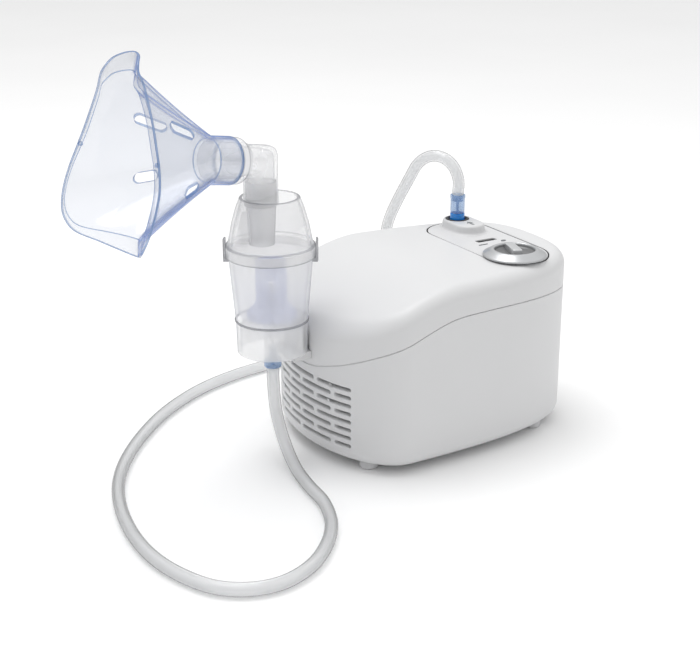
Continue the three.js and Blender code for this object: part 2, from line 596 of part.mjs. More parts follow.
const headHalf = HEAD_SIDE / 2;
const headBox = (low, high) => box(CYLINDER.x - headHalf, CYLINDER.x + headHalf, -headHalf, headHalf, low, high);
const portHoles = [-5, 5].map((dx) => prism(circle(CYLINDER.x + dx, 0, 1.6, 10), 80, 90));
add('valve_plate', cut(headBox(84.3, 85.8), ...portHoles, ...screwWays), STEEL);
const nippleOut = prism(circle(89.2, CYLINDER.x - 5, 2.3, 12), headHalf - 1, headHalf + 7, ALONG_Y);
const nippleOutBore = prism(circle(89.2, CYLINDER.x - 5, 1.1, 10), 4, headHalf + 9, ALONG_Y);
const nippleIn = prism(circle(0, 89.2, 2.3, 12), CYLINDER.x + headHalf - 1, CYLINDER.x + headHalf + 6, ALONG_X);
const nippleInBore = prism(circle(0, 89.2, 1.1, 10), CYLINDER.x + 6, CYLINDER.x + headHalf + 8, ALONG_X);
const chambers = [-6.5, 6.5].map((dx) => box(CYLINDER.x + dx - 4.5, CYLINDER.x + dx + 4.5, -8, 8, 80, 90));
add('cylinder_head', cut(
  fuse(headBox(86.1, 92.4), nippleOut, nippleIn), nippleOutBore, nippleInBore, ...chambers, ...screwWays,
), ALUMINIUM);
headScrews.forEach(([x, y], i) => {
  const screw = turned([[0, 55], [1.3, 55], [1.3, 92.7], [2.6, 92.7], [2.6, 95], [0, 95]], 10, at(x, y, 0));
  add(`head_screw_${i + 1}`, screw, STEEL);
});

// ---------------------------------------------------------------- hoses and wires inside the case
add('pressure_hose', cord([
  [21, 21.4, 89.2], [21, 27, 88.4], [25, 35, 83], [33, 40, 74], [41, 38, 69], [44.3, 33.5, 73], [44.5, 33, 79.6],
], 3, 8, 14), SILICONE);
add('intake_hose', cord([
  [46.4, 0, 89.2], [50, 0, 88.6], [54, 0, 83], [55, 0, 74], [56, 0, 66], [58.5, 0, 62.4], [61.7, 0, 62],
], 3, 8, 14), SILICONE);
add('wire_live', cord([
  [63.4, -5, 30], [61.5, -5, 30], [57, -12, 32], [52, -24, 42], [47, -29, 60], [44, -31, 70], [44, -31, 75.6],
], 1.1, 5, 12), finish(0x7a4a2a, 0.5));
add('wire_neutral', cord([
  [63.4, 5, 22], [61.5, 5, 22], [55, 0, 15], [40, -26, 13], [22, -40, 20], [14, -40, 36], [13, -37, 42], [10.5, -37, 42],
], 1.1, 5, 14), finish(0x2f5fa8, 0.5));

// ---------------------------------------------------------------- nebulizer kit: cup
const kitAxis = at(KIT_X, 0, 0);
const cupBody = turned([
  [2.4, 57], [4.35, 57], [4.35, 77.6], [17, 77.6], [17.2, SKIRT_BOTTOM], [18.9, SKIRT_BOTTOM], [19.3, 79.3],
  [22.4, 114.8], [22.4, 120], [21, 120], [21, 115], [17.9, 84.5], [16, 81.2], [5.4, 80.6], [4.2, 84],
  [1.9, 99.6], [0.7, 99.6], [0.7, 66], [2.4, 64.4],
], 32, kitAxis);
const clipAngles = [-30, 150];
const clips = clipAngles.flatMap((angle) => [
  sector(KIT_X, 0, 22, 25.4, angle - 13, angle + 13, 112.2, 114.9, 4),
  sector(KIT_X, 0, 24.2, 25.4, angle - 13, angle + 13, 112.2, 124.6, 4),
]);
add('kit_cup', fuse(cupBody, ...clips), FROSTED);

// ---------------------------------------------------------------- nebulizer kit: vaporizer head
const vaporizerShell = turned([
  [0, 111.4], [7, 111.4], [7, 88], [12.2, 83], [12.2, 81.6], [13.6, 81.6], [13.4, 84], [8.3, 89.4], [8.3, 112.6],
  [0, 112.6],
], 20, kitAxis);
const baffle = turned([[0, 101.4], [2.2, 101.4], [2.8, 103], [2.8, 112], [0, 112]], 10, kitAxis);
const archWindow = prism(
  [[96, -4.8], [104, -4.8], [107, -3], [108, 0], [107, 3], [104, 4.8], [96, 4.8]], -20, 20,
  at(KIT_X, 0, 0).multiply(ALONG_Y));
add('vaporizer_head', fuse(vaporizerShell.subtract(archWindow), baffle), BLUE);

// ---------------------------------------------------------------- nebulizer kit: cap with its chimney
const CAP_SIDE = [[22.6, 122.2], [21.9, 126], [20.4, 133.5], [18.3, 141], [15.9, 147.3]];
const capBody = turned([
  [22.75, 115.3], [23.9, 115.3], [23.9, 121.6], ...CAP_SIDE, [14.5, 147.3],
  ...CAP_SIDE.slice(0, -1).reverse().map(([r, z]) => [r - 1.5, z - 0.3]), [22.75, 120.6],
], 32, kitAxis);
const chimneyAt = at(KIT_X + CHIMNEY_OFFSET, 0, 0);
const chimney = turned([
  [5.6, 122.4], [6.8, 122.4], [7.7, 142.6], [8, 144], [8, CHIMNEY_TOP], [6.8, CHIMNEY_TOP], [6.6, 143],
], 24, chimneyAt);
const capInside = turned([[0, 123], [21.4, 123], [19.6, 133.5], [17.4, 141], [0, 141]], 32, kitAxis);
const web = box(KIT_X - 22, KIT_X + CHIMNEY_OFFSET - 6.2, -0.8, 0.8, 124, 141).intersect(capInside);
add('kit_cap', fuse(capBody, chimney, web), FROSTED);

// ---------------------------------------------------------------- elbow
const elbowGroup = new THREE.Group();
elbowGroup.position.set(KIT_X + CHIMNEY_OFFSET, 0, 0);
elbowGroup.rotation.z = radians(ELBOW_TURN);
device.add(elbowGroup);

// The arm's frame: its own Z runs out along the arm and its own Y points up.
const rise = radians(ARM_RISE);
const armMatrix = new THREE.Matrix4().makeBasis(
  new THREE.Vector3(0, -1, 0),
  new THREE.Vector3(Math.sin(rise), 0, Math.cos(rise)),
  new THREE.Vector3(-Math.cos(rise), 0, Math.sin(rise)),
).setPosition(0, 0, ARM_HEIGHT);

const elbowOutside = fuse(
  turned([[0, 143.3], [9.1, 143.3], [9.1, 170.2], [8.3, 172.8], [6.2, 174.2], [0, 174.6]], 20),
  turned([
    [0, -1], [8.8, -1], [8.8, 9], [9.5, 12.5], [12, 16.4], [12, 20.2], [10.9, 20.2],
    [10.7, 33], [0, 33],
  ], 20, armMatrix),
);
const elbowInside = fuse(
  turned([[0, 140], [8.35, 140], [8.35, CHIMNEY_TOP + 0.5], [7.2, CHIMNEY_TOP + 0.5], [7.2, 169.4], [5.6, 172],
    [0, 172.6]], 20),
  turned([[0, 0], [7.3, 0], [7.3, 10], [9.4, 17], [9.4, 36], [0, 36]], 20, armMatrix),
);
add('elbow', cut(elbowOutside, elbowInside), CLEAR, elbowGroup);

// ---------------------------------------------------------------- mask
const maskGroup = new THREE.Group();
maskGroup.applyMatrix4(armMatrix);
elbowGroup.add(maskGroup);

const rimCurve = new THREE.CatmullRomCurve3([
  ...MASK_RIM,
  ...MASK_RIM.slice(1, -1).reverse().map(([across, up, out]) => [-across, up, out]),
].map((p) => new THREE.Vector3(...p)), true, 'centripetal');
const rimPoints = rimCurve.getSpacedPoints(40).slice(0, -1);

// A ring of the cone, from the port's circle (0) to the rim (1), grown outwards and moved along the arm.
function maskRing(share, grow, shift, withLip = false) {
  return rimPoints.map((rim) => {
    const length = Math.hypot(rim.x, rim.y);
    const lip = THREE.MathUtils.lerp(MASK_LIP.side, MASK_LIP.tips, Math.abs(rim.y / length) ** MASK_LIP.spread);
    const radius = THREE.MathUtils.lerp(MASK_PORT.outer, length - lip, share) + grow + (withLip ? lip : 0);
    const depth = THREE.MathUtils.lerp(MASK_PORT.end, rim.z, share) + shift;
    return new THREE.Vector3((rim.x / length) * radius, (rim.y / length) * radius, depth);
  });
}
const portInset = MASK_PORT.inner - MASK_PORT.outer;
const portShift = MASK_PORT.start - MASK_PORT.end;
const maskBody = skin([
  maskRing(0, 0, portShift),
  maskRing(0, 0, 0),
  maskRing(0.5, -0.8, 0),
  maskRing(0.97, 0, 0),
  maskRing(1, 0, -0.6, true),
  maskRing(1, 0, 0.6, true),
  maskRing(1, -MASK_WALL, 0.6),
  maskRing(0.5, -0.8 - MASK_WALL, 0.6),
  maskRing(0, portInset, 0.6),
  maskRing(0, portInset, portShift),
], true);

// Four oval vents, two on each side, long in the direction of the cone.
const VENTS = [[51, 27.2, 8.5], [129, 27.2, 8.5], [-32, 22.5, 5.5], [-148, 22.5, 5.5]];
const ventSlots = VENTS.map(([degrees, along, halfLength]) => {
  const slot = racetrack(0, 0, 2.5, halfLength, 5);
  const outward = new THREE.Matrix4().makeRotationZ(radians(degrees));
  const matrix = at(0, 0, MASK_PORT.end + along).multiply(outward).multiply(ALONG_X);
  return prism(slot, 8, 45, matrix);
});
const strapHoles = [1, -1].map((side) => prism(circle(side * 31.8, 2, 1.1, 8), 80, 100));
add('mask', cut(maskBody, ...ventSlots, ...strapHoles), CLEAR, maskGroup);

// ---------------------------------------------------------------- air tube and its two plugs
add('kit_plug', turned([
  [0.9, 52.5], [4.65, 52.5], [4.65, 56.6], [2, 56.6], [2, 63.4], [0.9, 63.4],
], 16, kitAxis), BLUE);
add('outlet_plug', turned([
  [0.9, 100.2], [4.45, 100.2], [4.45, 122.8], [0.9, 122.8],
], 20, at(OUTLET.x, OUTLET.y, 0)), BLUE);

const TUBE_ROUTE = [
  [KIT_X, 0, 52.2], [KIT_X, 0, 44], [-96.6, -2, 25.5], [-97.2, -12.5, 11.8], [-100.4, -31, 5],
  [-103.3, -51, 3.6], [-105.8, -71.7, 3.6], [-114, -94, 3.6], [-127, -112, 3.6], [-143.4, -126, 3.6],
  [-161.8, -132.6, 3.6], [-177.2, -130, 3.6], [-189.6, -120.7, 3.6], [-198.4, -103.5, 3.6],
  [-203.2, -82.5, 3.6], [-203.4, -57.9, 3.6], [-198.2, -26.7, 3.6], [-189, 0.7, 3.6], [-176, 24.5, 3.6],
  [-155, 52, 3.6], [-128.8, 78, 3.6], [-98, 98.8, 3.6], [-70, 109.8, 3.6], [-44.8, 115, 3.6],
  [-10, 119, 3.6], [25, 121.5, 3.6], [47, 121.5, 4.2], [64, 115, 10], [73, 104.5, 22], [71, 95, 37],
  [57, 89.5, 52], [38, 85.5, 65], [25.5, 81.5, 80], [22.6, 76.7, 97], [29.3, 62.9, 128.3],
  [32.2, 57.2, 138.5], [35.7, 50.4, 143.5], [39.6, 42.6, 143.8], [42.8, 36.4, 139.6], [44.6, 32.9, 131.7],
  [OUTLET.x, OUTLET.y, 123.1],
];
add('air_tube', cord(TUBE_ROUTE, TUBE_RADIUS, 8, 76), CLEAR);

// ---------------------------------------------------------------- stand the model over its origin
// The origin is the middle of the underside of everything but the air tube and its plugs.
const cordPieces = ['air_tube', 'kit_plug', 'outlet_plug'];
device.updateMatrixWorld(true);
const extent = new THREE.Box3();
device.traverse((piece) => {
  if (piece.isMesh && !cordPieces.includes(piece.name)) extent.expandByObject(piece, true);
});
const middle = extent.getCenter(new THREE.Vector3());
device.position.set(-middle.x, -middle.y, -extent.min.z);

export default device;
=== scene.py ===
"""The looks of the compressor nebulizer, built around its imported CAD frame."""
import json
import math

import bmesh
import bpy
import numpy as np
from mathutils import Matrix, Vector


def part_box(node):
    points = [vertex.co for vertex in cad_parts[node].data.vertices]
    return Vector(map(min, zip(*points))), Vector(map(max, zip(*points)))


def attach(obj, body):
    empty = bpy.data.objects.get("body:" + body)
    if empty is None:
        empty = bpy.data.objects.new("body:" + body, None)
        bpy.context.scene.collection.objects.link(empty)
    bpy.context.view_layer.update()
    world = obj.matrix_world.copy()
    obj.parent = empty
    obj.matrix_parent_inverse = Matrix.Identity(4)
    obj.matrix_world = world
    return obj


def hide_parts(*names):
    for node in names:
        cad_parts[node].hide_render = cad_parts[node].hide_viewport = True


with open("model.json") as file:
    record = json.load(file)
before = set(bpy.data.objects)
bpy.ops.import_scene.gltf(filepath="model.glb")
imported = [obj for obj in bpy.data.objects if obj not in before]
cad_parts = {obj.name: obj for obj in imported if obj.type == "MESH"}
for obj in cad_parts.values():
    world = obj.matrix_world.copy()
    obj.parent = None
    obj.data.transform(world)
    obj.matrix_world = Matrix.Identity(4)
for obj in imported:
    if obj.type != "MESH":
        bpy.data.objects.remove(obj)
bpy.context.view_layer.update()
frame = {"nodes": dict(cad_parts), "record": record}
scene = bpy.context.scene

# -------- driving dimensions, millimetres
MM = 0.001
SHARP = 35.0  # degrees between two faces from which their edge is drawn sharp
HALF_LENGTH = 80
HALF_WIDTH = 62
NOSE_DEPTH = 34.75
TAIL_REACH = (73.8, 36.8)
WALL = 2.4
LINER = 2.4
CASE_BOTTOM = 5
BOTTOM_ROUND = 6
TOP_ROUND = 8
PLATEAU, DROP, FALL_START, FALL_POWER, CROWN = 103.2, 27, -12, 1.7, 1.2
SEAM_LINE = [(-80, 52.5), (-76, 57.8), (-65, 66.8), (-46, 75.2), (-21, 83.6), (0, 84.8), (40, 83.8), (80, 82)]
SEAM_GAP = 0.3
PANEL = dict(x=41.9, y=-0.7, half_width=19.1, half_length=45.9, floor=98.2, seat=95.8, gap=0.65)
KNOB = dict(x=38.5, y=-32.7, radius=18, base=103.5, stem=3.2, turn=110)
OUTLET = dict(x=44.5, y=33, radius=6.9, top=108.6)
BOSS = dict(x=45, y=27.2, half_width=9.5, half_length=15.2, top=108.2)
WINDOW = dict(x=43, y=1, length=13.6, width=4.2, lens_depth=0.75)
KIT_X = -97.2
CHIMNEY_OFFSET = -5
CHIMNEY_TOP = 156.2
SKIRT_BOTTOM = 61.8
ELBOW_TURN = 13
ARM_RISE = 10
ARM_HEIGHT = 166.5
MASK_PORT = dict(start=20.5, end=34.5, outer=12.4, inner=11.2)
MASK_WALL = 1.5
MASK_LIP = dict(side=3.2, tips=8.2, spread=10)
MASK_RIM = [
    (0, 50.3, 84), (6, 49, 85.5), (10.4, 46, 88.6), (13.4, 42, 90.2), (17.1, 38, 89.9), (20.7, 30, 88.8),
    (25.5, 20, 88.2), (29.9, 10, 88.2), (34.3, 0, 88.5), (37.6, -10, 89.6), (38.5, -20, 91.3), (37.6, -28, 92.3),
    (35.2, -34, 92.4), (29.5, -40, 90.3), (16.5, -44, 81.7), (0, -48, 72),
]
TUBE_RADIUS = 3.4
TUBE_BORE = 2.2
TUBE_ROUTE = [
    (KIT_X, 0, 52.2), (KIT_X, 0, 44), (-96.6, -2, 25.5), (-97.2, -12.5, 11.8), (-100.4, -31, 5),
    (-103.3, -51, 3.6), (-105.8, -71.7, 3.6), (-114, -94, 3.6), (-127, -112, 3.6), (-143.4, -126, 3.6),
    (-161.8, -132.6, 3.6), (-177.2, -130, 3.6), (-189.6, -120.7, 3.6), (-198.4, -103.5, 3.6),
    (-203.2, -82.5, 3.6), (-203.4, -57.9, 3.6), (-198.2, -26.7, 3.6), (-189, 0.7, 3.6), (-176, 24.5, 3.6),
    (-155, 52, 3.6), (-128.8, 78, 3.6), (-98, 98.8, 3.6), (-70, 109.8, 3.6), (-44.8, 115, 3.6),
    (-10, 119, 3.6), (25, 121.5, 3.6), (47, 121.5, 4.2), (64, 115, 10), (73, 104.5, 22), (71, 95, 37),
    (57, 89.5, 52), (38, 85.5, 65), (25.5, 81.5, 80), (22.6, 76.7, 97), (29.3, 62.9, 128.3),
    (32.2, 57.2, 138.5), (35.7, 50.4, 143.5), (39.6, 42.6, 143.8), (42.8, 36.4, 139.6),
    (44.6, 32.9, 131.7), (OUTLET["x"], OUTLET["y"], 123.1),
]

plug_low, plug_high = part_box("kit_plug")
ORIGIN = np.array([(plug_low.x + plug_high.x) / 2 - KIT_X * MM, (plug_low.y + plug_high.y) / 2, 0.0])


def place(point):
    """A point of the device's frame, in millimetres, as a point of the row frame, in metres."""
    return tuple(np.asarray(point, float) * MM + ORIGIN)


def linked(name, data):
    obj = bpy.data.objects.new(name, data)
    scene.collection.objects.link(obj)
    return obj


# -------- camera
CAMERA_AZIMUTH, CAMERA_ELEVATION = -30.15, 19.94
CAMERA_AT = (-417.25, -634.44, 330.40)
azimuth, elevation = math.radians(CAMERA_AZIMUTH), math.radians(CAMERA_ELEVATION)
back = Vector((math.sin(azimuth) * math.cos(elevation), -math.cos(azimuth) * math.cos(elevation), math.sin(elevation)))
right = Vector((math.cos(azimuth), math.sin(azimuth), 0))
up = back.cross(right)
camera = linked("camera", bpy.data.cameras.new("camera"))
camera.data.sensor_width = 36
camera.data.lens = 72
camera.data.clip_end = 20
camera.matrix_world = Matrix.Translation(place(CAMERA_AT)) @ Matrix((right, up, back)).transposed().to_4x4()
scene.camera = camera


# -------- curves
def catmull_rom(points, closed=False):
    """A centripetal Catmull-Rom curve through the points: a function of a share from 0 to 1."""
    points = np.asarray(points, float)
    if closed:
        spans, padded = len(points), [points[-1], *points, *points[:3]]
    else:
        spans, padded = len(points) - 1, [2 * points[0] - points[1], *points, 2 * points[-1] - points[-2]]

    def at(share):
        i = int(share * spans)
        weight = share * spans - i
        if not closed and i == spans:
            i, weight = spans - 1, 1.0
        p = padded[i:i + 4]
        steps = [max(np.sum((p[k + 1] - p[k]) ** 2) ** 0.25, 1e-4) for k in range(3)]
        slopes = [(p[k + 1] - p[k]) / steps[k] for k in range(3)]
        first = (slopes[0] - (p[2] - p[0]) / (steps[0] + steps[1]) + slopes[1]) * steps[1]
        last = (slopes[1] - (p[3] - p[1]) / (steps[1] + steps[2]) + slopes[2]) * steps[1]
        a = 2 * p[1] - 2 * p[2] + first + last
        b = -3 * p[1] + 3 * p[2] - 2 * first - last
        return ((a * weight + b) * weight + first) * weight + p[1]

    return at


def travelled_along(line):
    """The length from a line's start to each of its points."""
    return np.concatenate([[0], np.cumsum(np.linalg.norm(np.diff(line, axis=0), axis=1))])


def unit(rows):
    return rows / np.linalg.norm(rows, axis=1)[:, None]


def evenly(curve, count, closed=False):
    """count points along a curve, the same length apart."""
    dense = 4000
    line = np.array([curve(i / dense) for i in range(dense + 1)])
    travelled = travelled_along(line)
    wanted = np.linspace(0, travelled[-1], count + 1 if closed else count)
    picked = np.column_stack([np.interp(wanted, travelled, line[:, axis]) for axis in range(line.shape[1])])
    return picked[:-1] if closed else picked


# -------- meshes
def mesh_object(name, points, faces, sharp=SHARP, slots=None):
    """A body in the device's millimetres; slots gives the material of each face."""
    mesh = bpy.data.meshes.new(name)
    mesh.from_pydata([place(p) for p in points], [], [list(face) for face in faces])
    if slots is not None:
        mesh.polygons.foreach_set("material_index", slots)
    work = bmesh.new()
    work.from_mesh(mesh)
    bmesh.ops.remove_doubles(work, verts=work.verts, dist=1e-7)
    bmesh.ops.dissolve_degenerate(work, edges=work.edges, dist=1e-8)
    bmesh.ops.recalc_face_normals(work, faces=work.faces)
    work.to_mesh(mesh)
    work.free()
    obj = linked(name, mesh)
    smooth(obj, sharp)
    return obj


def smooth(obj, sharp=SHARP):
    obj.data.shade_smooth()
    obj.data.set_sharp_from_angle(angle=math.radians(sharp))


def skin(name, rings, looped=False, caps=True, sharp=SHARP, edges=None):
    """Rings of the same number of points joined into a closed skin. edges says, band by band, whether it takes the
    piece's second material."""
    count = len(rings[0])
    points = [p for ring in rings for p in ring]
    faces = []
    for band in range(len(rings) if looped else len(rings) - 1):
        after = (band + 1) % len(rings)
        for i in range(count):
            j = (i + 1) % count
            faces.append((band * count + i, band * count + j, after * count + j, after * count + i))
    if caps and not looped:
        faces.append(tuple(range(count)))
        faces.append(tuple((len(rings) - 1) * count + i for i in reversed(range(count))))
    slots = None if edges is None else [int(edges[face // count]) for face in range(len(faces))]
    return mesh_object(name, points, faces, sharp, slots)


def softened(profile, radius, steps=4):
    """A polygon profile with its corners rounded; a corner on the axis stays."""
    profile = [np.array(p, float) for p in profile]
    result = []
    count = len(profile)
    for i, point in enumerate(profile):
        if point[0] < 1e-6:
            result.append(tuple(point))
            continue
        before, after = profile[i - 1], profile[(i + 1) % count]
        to_before, to_after = before - point, after - point
        room = 0.42 * min(np.linalg.norm(to_before), np.linalg.norm(to_after))
        cut = min(radius, room)
        start = point + to_before / np.linalg.norm(to_before) * cut
        end = point + to_after / np.linalg.norm(to_after) * cut
        for k in range(steps + 1):
            t = k / steps
            result.append(tuple((1 - t) ** 2 * start + 2 * t * (1 - t) * point + t * t * end))
    return result


def turned(name, profile, centre=(0, 0), segments=96, soften=0.35, basis=None):
    """A profile of (radius, height) turned about a vertical axis, or about a basis' own Z."""
    profile = softened(profile, soften)
    angles = np.linspace(0, 2 * math.pi, segments, endpoint=False)
    rings = []
    for radius, height in profile:
        ring = np.column_stack([radius * np.cos(angles), radius * np.sin(angles), np.full(segments, float(height))])
        if basis is None:
            ring = ring + np.array([centre[0], centre[1], 0])
        else:
            ring = ring @ basis[0].T + basis[1]
        rings.append(ring)
    on_axis = profile[0][0] < 1e-6 or profile[-1][0] < 1e-6
    return skin(name, rings, looped=not on_axis, caps=False, sharp=40.0)


def about_z(angle):
    return np.array([[math.cos(angle), -math.sin(angle), 0], [math.sin(angle), math.cos(angle), 0], [0, 0, 1]])


def racetrack(x, y, half_width, half_length, count):
    straight = half_length - half_width
    angles = np.linspace(0, math.pi, count + 1)
    first = np.column_stack([x + half_width * np.cos(angles), y + straight + half_width * np.sin(angles)])
    second = np.array([2 * x, 2 * y]) - first
    return np.concatenate([first, second])


def circle(x, y, radius, count):
    angles = np.linspace(0, 2 * math.pi, count, endpoint=False)
    return np.column_stack([x + radius * np.cos(angles), y + radius * np.sin(angles)])


def raised(flat, heights):
    """A flat outline as a ring in space, each point at its own height."""
    return np.column_stack([np.asarray(flat, float), heights])


def level(flat, z):
    return raised(flat, np.full(len(flat), float(z)))


def prism(name, outline, low, high, basis=None):
    rings = [level(outline, low), level(outline, high)]
    if basis is not None:
        rings = [ring @ basis[0].T + basis[1] for ring in rings]
    return skin(name, rings)


def block(name, low, high):
    corners = [(low[0], low[1]), (high[0], low[1]), (high[0], high[1]), (low[0], high[1])]
    return prism(name, corners, low[2], high[2])


def apply_modifiers(obj):
    graph = bpy.context.evaluated_depsgraph_get()
    mesh = bpy.data.meshes.new_from_object(obj.evaluated_get(graph))
    old = obj.data
    obj.modifiers.clear()
    obj.data = mesh
    bpy.data.meshes.remove(old)


def carve(target, operation, *tools, keep=False, sharp=SHARP):
    """Joins, cuts or intersects closed bodies, and returns the changed first one."""
    for tool in tools:
        modifier = target.modifiers.new("carve", "BOOLEAN")
        modifier.operation = operation
        modifier.object = tool
        modifier.solver = "MANIFOLD"
    bpy.context.view_layer.update()
    apply_modifiers(target)
    smooth(target, sharp)
    if not keep:
        for tool in tools:
            bpy.data.objects.remove(tool)
    return target


def copy_of(obj, name):
    return linked(name, obj.data.copy())


def joined(name, objects):
    """Several separate bodies as the parts of one mesh."""
    work = bmesh.new()
    for obj in objects:
        work.from_mesh(obj.data)
    mesh = bpy.data.meshes.new(name)
    work.to_mesh(mesh)
    work.free()
    for obj in objects:
        bpy.data.objects.remove(obj)
    result = linked(name, mesh)
    smooth(result)
    return result


# -------- materials
class Nodes:
    """A short way to write a tree of shader nodes."""

    def __init__(self, tree):
        self.tree = tree

    def node(self, kind, settings=None, **inputs):
        node = self.tree.nodes.new(kind)
        for key, value in (settings or {}).items():
            setattr(node, key, value)
        for key, value in inputs.items():
            self.feed(node.inputs[key.replace("_", " ")], value)
        return node

    def feed(self, socket, value):
        if isinstance(value, bpy.types.NodeSocket):
            self.tree.links.new(value, socket)
        elif hasattr(value, "__len__") and len(value) == 3 and socket.type == "RGBA":
            socket.default_value = (*value, 1)
        else:
            socket.default_value = value

    def arithmetic(self, operation, *values):
        node = self.node("ShaderNodeMath", {"operation": operation})
        for socket, value in zip(node.inputs, values):
            self.feed(socket, value)
        return node.outputs[0]

    def remap(self, value, source, target, settings=None):
        """Carries one range of values over to another."""
        node = self.node("ShaderNodeMapRange", settings, Value=value)
        for key, number in zip(("From Min", "From Max", "To Min", "To Max"), (*source, *target)):
            self.feed(node.inputs[key], number)
        return node.outputs[0]

    def blend(self, share, first, second):
        """One surface turning into another."""
        node = self.node("ShaderNodeMixShader", Fac=share)
        self.feed(node.inputs[1], first)
        self.feed(node.inputs[2], second)
        return node.outputs[0]


class Shader(Nodes):
    """A procedural material."""

    def __init__(self, name):
        self.material = bpy.data.materials.new(name)
        self.material.use_nodes = True
        super().__init__(self.material.node_tree)
        self.body = self.tree.nodes["Principled BSDF"]
        self.output = self.tree.nodes["Material Output"]
        self.place = self.tree.nodes.new("ShaderNodeTexCoord").outputs["Object"]

    def set(self, **inputs):
        for key, value in inputs.items():
            self.feed(self.body.inputs[key.replace("_", " ")], value)

    def noise(self, scale, detail=3.0, stretch=None):
        vector = self.place
        if stretch is not None:
            vector = self.node("ShaderNodeMapping", Vector=vector, Scale=stretch).outputs[0]
        return self.node("ShaderNodeTexNoise", Vector=vector, Scale=scale, Detail=detail).outputs["Fac"]

    def spread(self, noise, low, high):
        """Noise, which mostly stays within its middle, drawn out from low to high."""
        return self.remap(noise, (0.3, 0.7), (low, high))

    def mix(self, share, first, second):
        node = self.tree.nodes.new("ShaderNodeMix")
        node.data_type = "RGBA"
        self.feed(node.inputs["Factor"], share)
        self.feed(node.inputs[6], first)
        self.feed(node.inputs[7], second)
        return node.outputs[2]

    def bump(self, height, strength, distance):
        return self.node("ShaderNodeBump", Height=height, Strength=strength, Distance=distance).outputs[0]


def plastic(name, colour, roughness=0.35, grain=3200.0, strength=0.05, vary=0.012, coat=0.0, metallic=0.0, shine=0.5):
    """Moulded plastic: a faint cloudy colour, slightly uneven gloss and a fine spark-eroded grain."""
    s = Shader(name)
    cloud = s.noise(14.0, 1.0)
    darker = tuple(c * (1 - vary) for c in colour)
    base = s.mix(s.spread(cloud, 0, 1), darker, colour)
    s.set(
        Base_Color=base,
        Roughness=s.spread(s.noise(40.0, 1.0), roughness * 0.94, roughness * 1.06),
        Metallic=metallic,
        Specular_IOR_Level=shine,
        Coat_Weight=coat,
        Coat_Roughness=0.15,
        Normal=s.bump(s.noise(grain, 2.0), strength, 0.00002),
    )
    return s.material


def metal(name, colour, roughness=0.3, stretch=(1, 1, 1), scale=900.0):
    s = Shader(name)
    lines = s.noise(scale, 5.0, stretch)
    s.set(
        Base_Color=s.mix(s.spread(lines, 0, 1), tuple(c * 0.86 for c in colour), colour),
        Metallic=1.0,
        Roughness=s.spread(lines, roughness * 0.75, roughness * 1.3),
        Normal=s.bump(lines, 0.15, 0.00004),
    )
    return s.material


def clear(name, centre, edge, body, band, glow, tint, roughness, gloss):
    """See-through plastic: what is behind shows in the middle, and the colour gathers where the wall is seen edge on.

    centre and edge are its colours face on and edge on, and body the shares of them that cover what is behind. band
    is where one turns into the other. glow is the share of the body that passes light from behind, as milky plastic
    does, tint the colour of what shows through, and gloss the strongest reflection."""
    thin, thick = body
    s = Shader(name)
    facing = s.node("ShaderNodeLayerWeight", Blend=0.5).outputs["Facing"]
    rim = s.remap(facing, band, (0, 1), {"interpolation_type": "SMOOTHSTEP"})
    cloud = s.noise(25.0, 1.0)
    share = s.arithmetic("MULTIPLY_ADD", rim, thick - thin, s.spread(cloud, thin * 0.95, thin * 1.05))
    colour = s.mix(rim, centre, edge)
    s.set(
        Base_Color=colour,
        Roughness=s.spread(cloud, roughness * 0.9, roughness * 1.15),
        Specular_IOR_Level=0.2,
        Normal=s.bump(s.noise(2200.0, 2.0), roughness * 0.25, 0.00002),
    )
    passing = s.node("ShaderNodeBsdfTranslucent", Color=colour).outputs[0]
    through = s.node("ShaderNodeBsdfTransparent", Color=tint).outputs[0]
    shine = s.node("ShaderNodeBsdfAnisotropic", Color=(1, 1, 1), Roughness=roughness).outputs[0]
    fresnel = s.node("ShaderNodeFresnel", IOR=1.45).outputs[0]
    wall = s.blend(share, through, s.blend(glow, s.body.outputs[0], passing))
    s.feed(s.output.inputs["Surface"], s.blend(s.arithmetic("MINIMUM", fresnel, gloss), wall, shine))
    return s.material


WHITE = plastic("white_moulded_plastic", (0.695, 0.697, 0.703), 0.42)
PANEL_WHITE = plastic("white_panel_plastic", (0.67, 0.672, 0.68), 0.42, strength=0.08)
# painted shade: a dark grey that stands for the shadow down in the gap round the panel, whose walls are white plastic
PAINTED_GAP_SHADE = plastic("painted_gap_shade", (0.16, 0.16, 0.165), 0.6)
DARK = plastic("dark_plastic", (0.022, 0.023, 0.026), 0.35, strength=0.2)
# the indicator lens: its own dark colour, made near-black as painted shade of the deep window it sits in
LENS_WITH_PAINTED_SHADE = plastic("lens_painted_shade", (0.014, 0.014, 0.016), 0.5, strength=0.1, shine=0.1)
GREY_MARK = plastic("grey_mark", (0.20, 0.21, 0.22), 0.5)
RUBBER = plastic("grey_rubber", (0.62, 0.62, 0.63), 0.7, grain=1200.0, strength=0.2)
BLACK_RUBBER = plastic("black_rubber", (0.02, 0.02, 0.02), 0.8, grain=700.0, strength=0.35)
WHITE_INNER = plastic("white_inner_plastic", (0.68, 0.685, 0.69), 0.5)
SILVER = plastic("silver_paint", (0.50, 0.51, 0.52), 0.30, grain=2600.0, strength=0.1, coat=0.3, metallic=0.55)
DISH = plastic("knob_dish", (0.18, 0.182, 0.186), 0.38, grain=2600.0, strength=0.1, metallic=0.25)
BLADE = plastic("knob_blade", (0.60, 0.61, 0.62), 0.32, grain=2600.0, strength=0.1, metallic=0.4)
STEEL = metal("steel", (0.55, 0.55, 0.56), 0.3)
LAMINATION = metal("lamination_steel", (0.33, 0.33, 0.34), 0.42, (1200, 1, 1), 1.0)
ALUMINIUM = metal("cast_aluminium", (0.62, 0.63, 0.64), 0.48, scale=400.0)
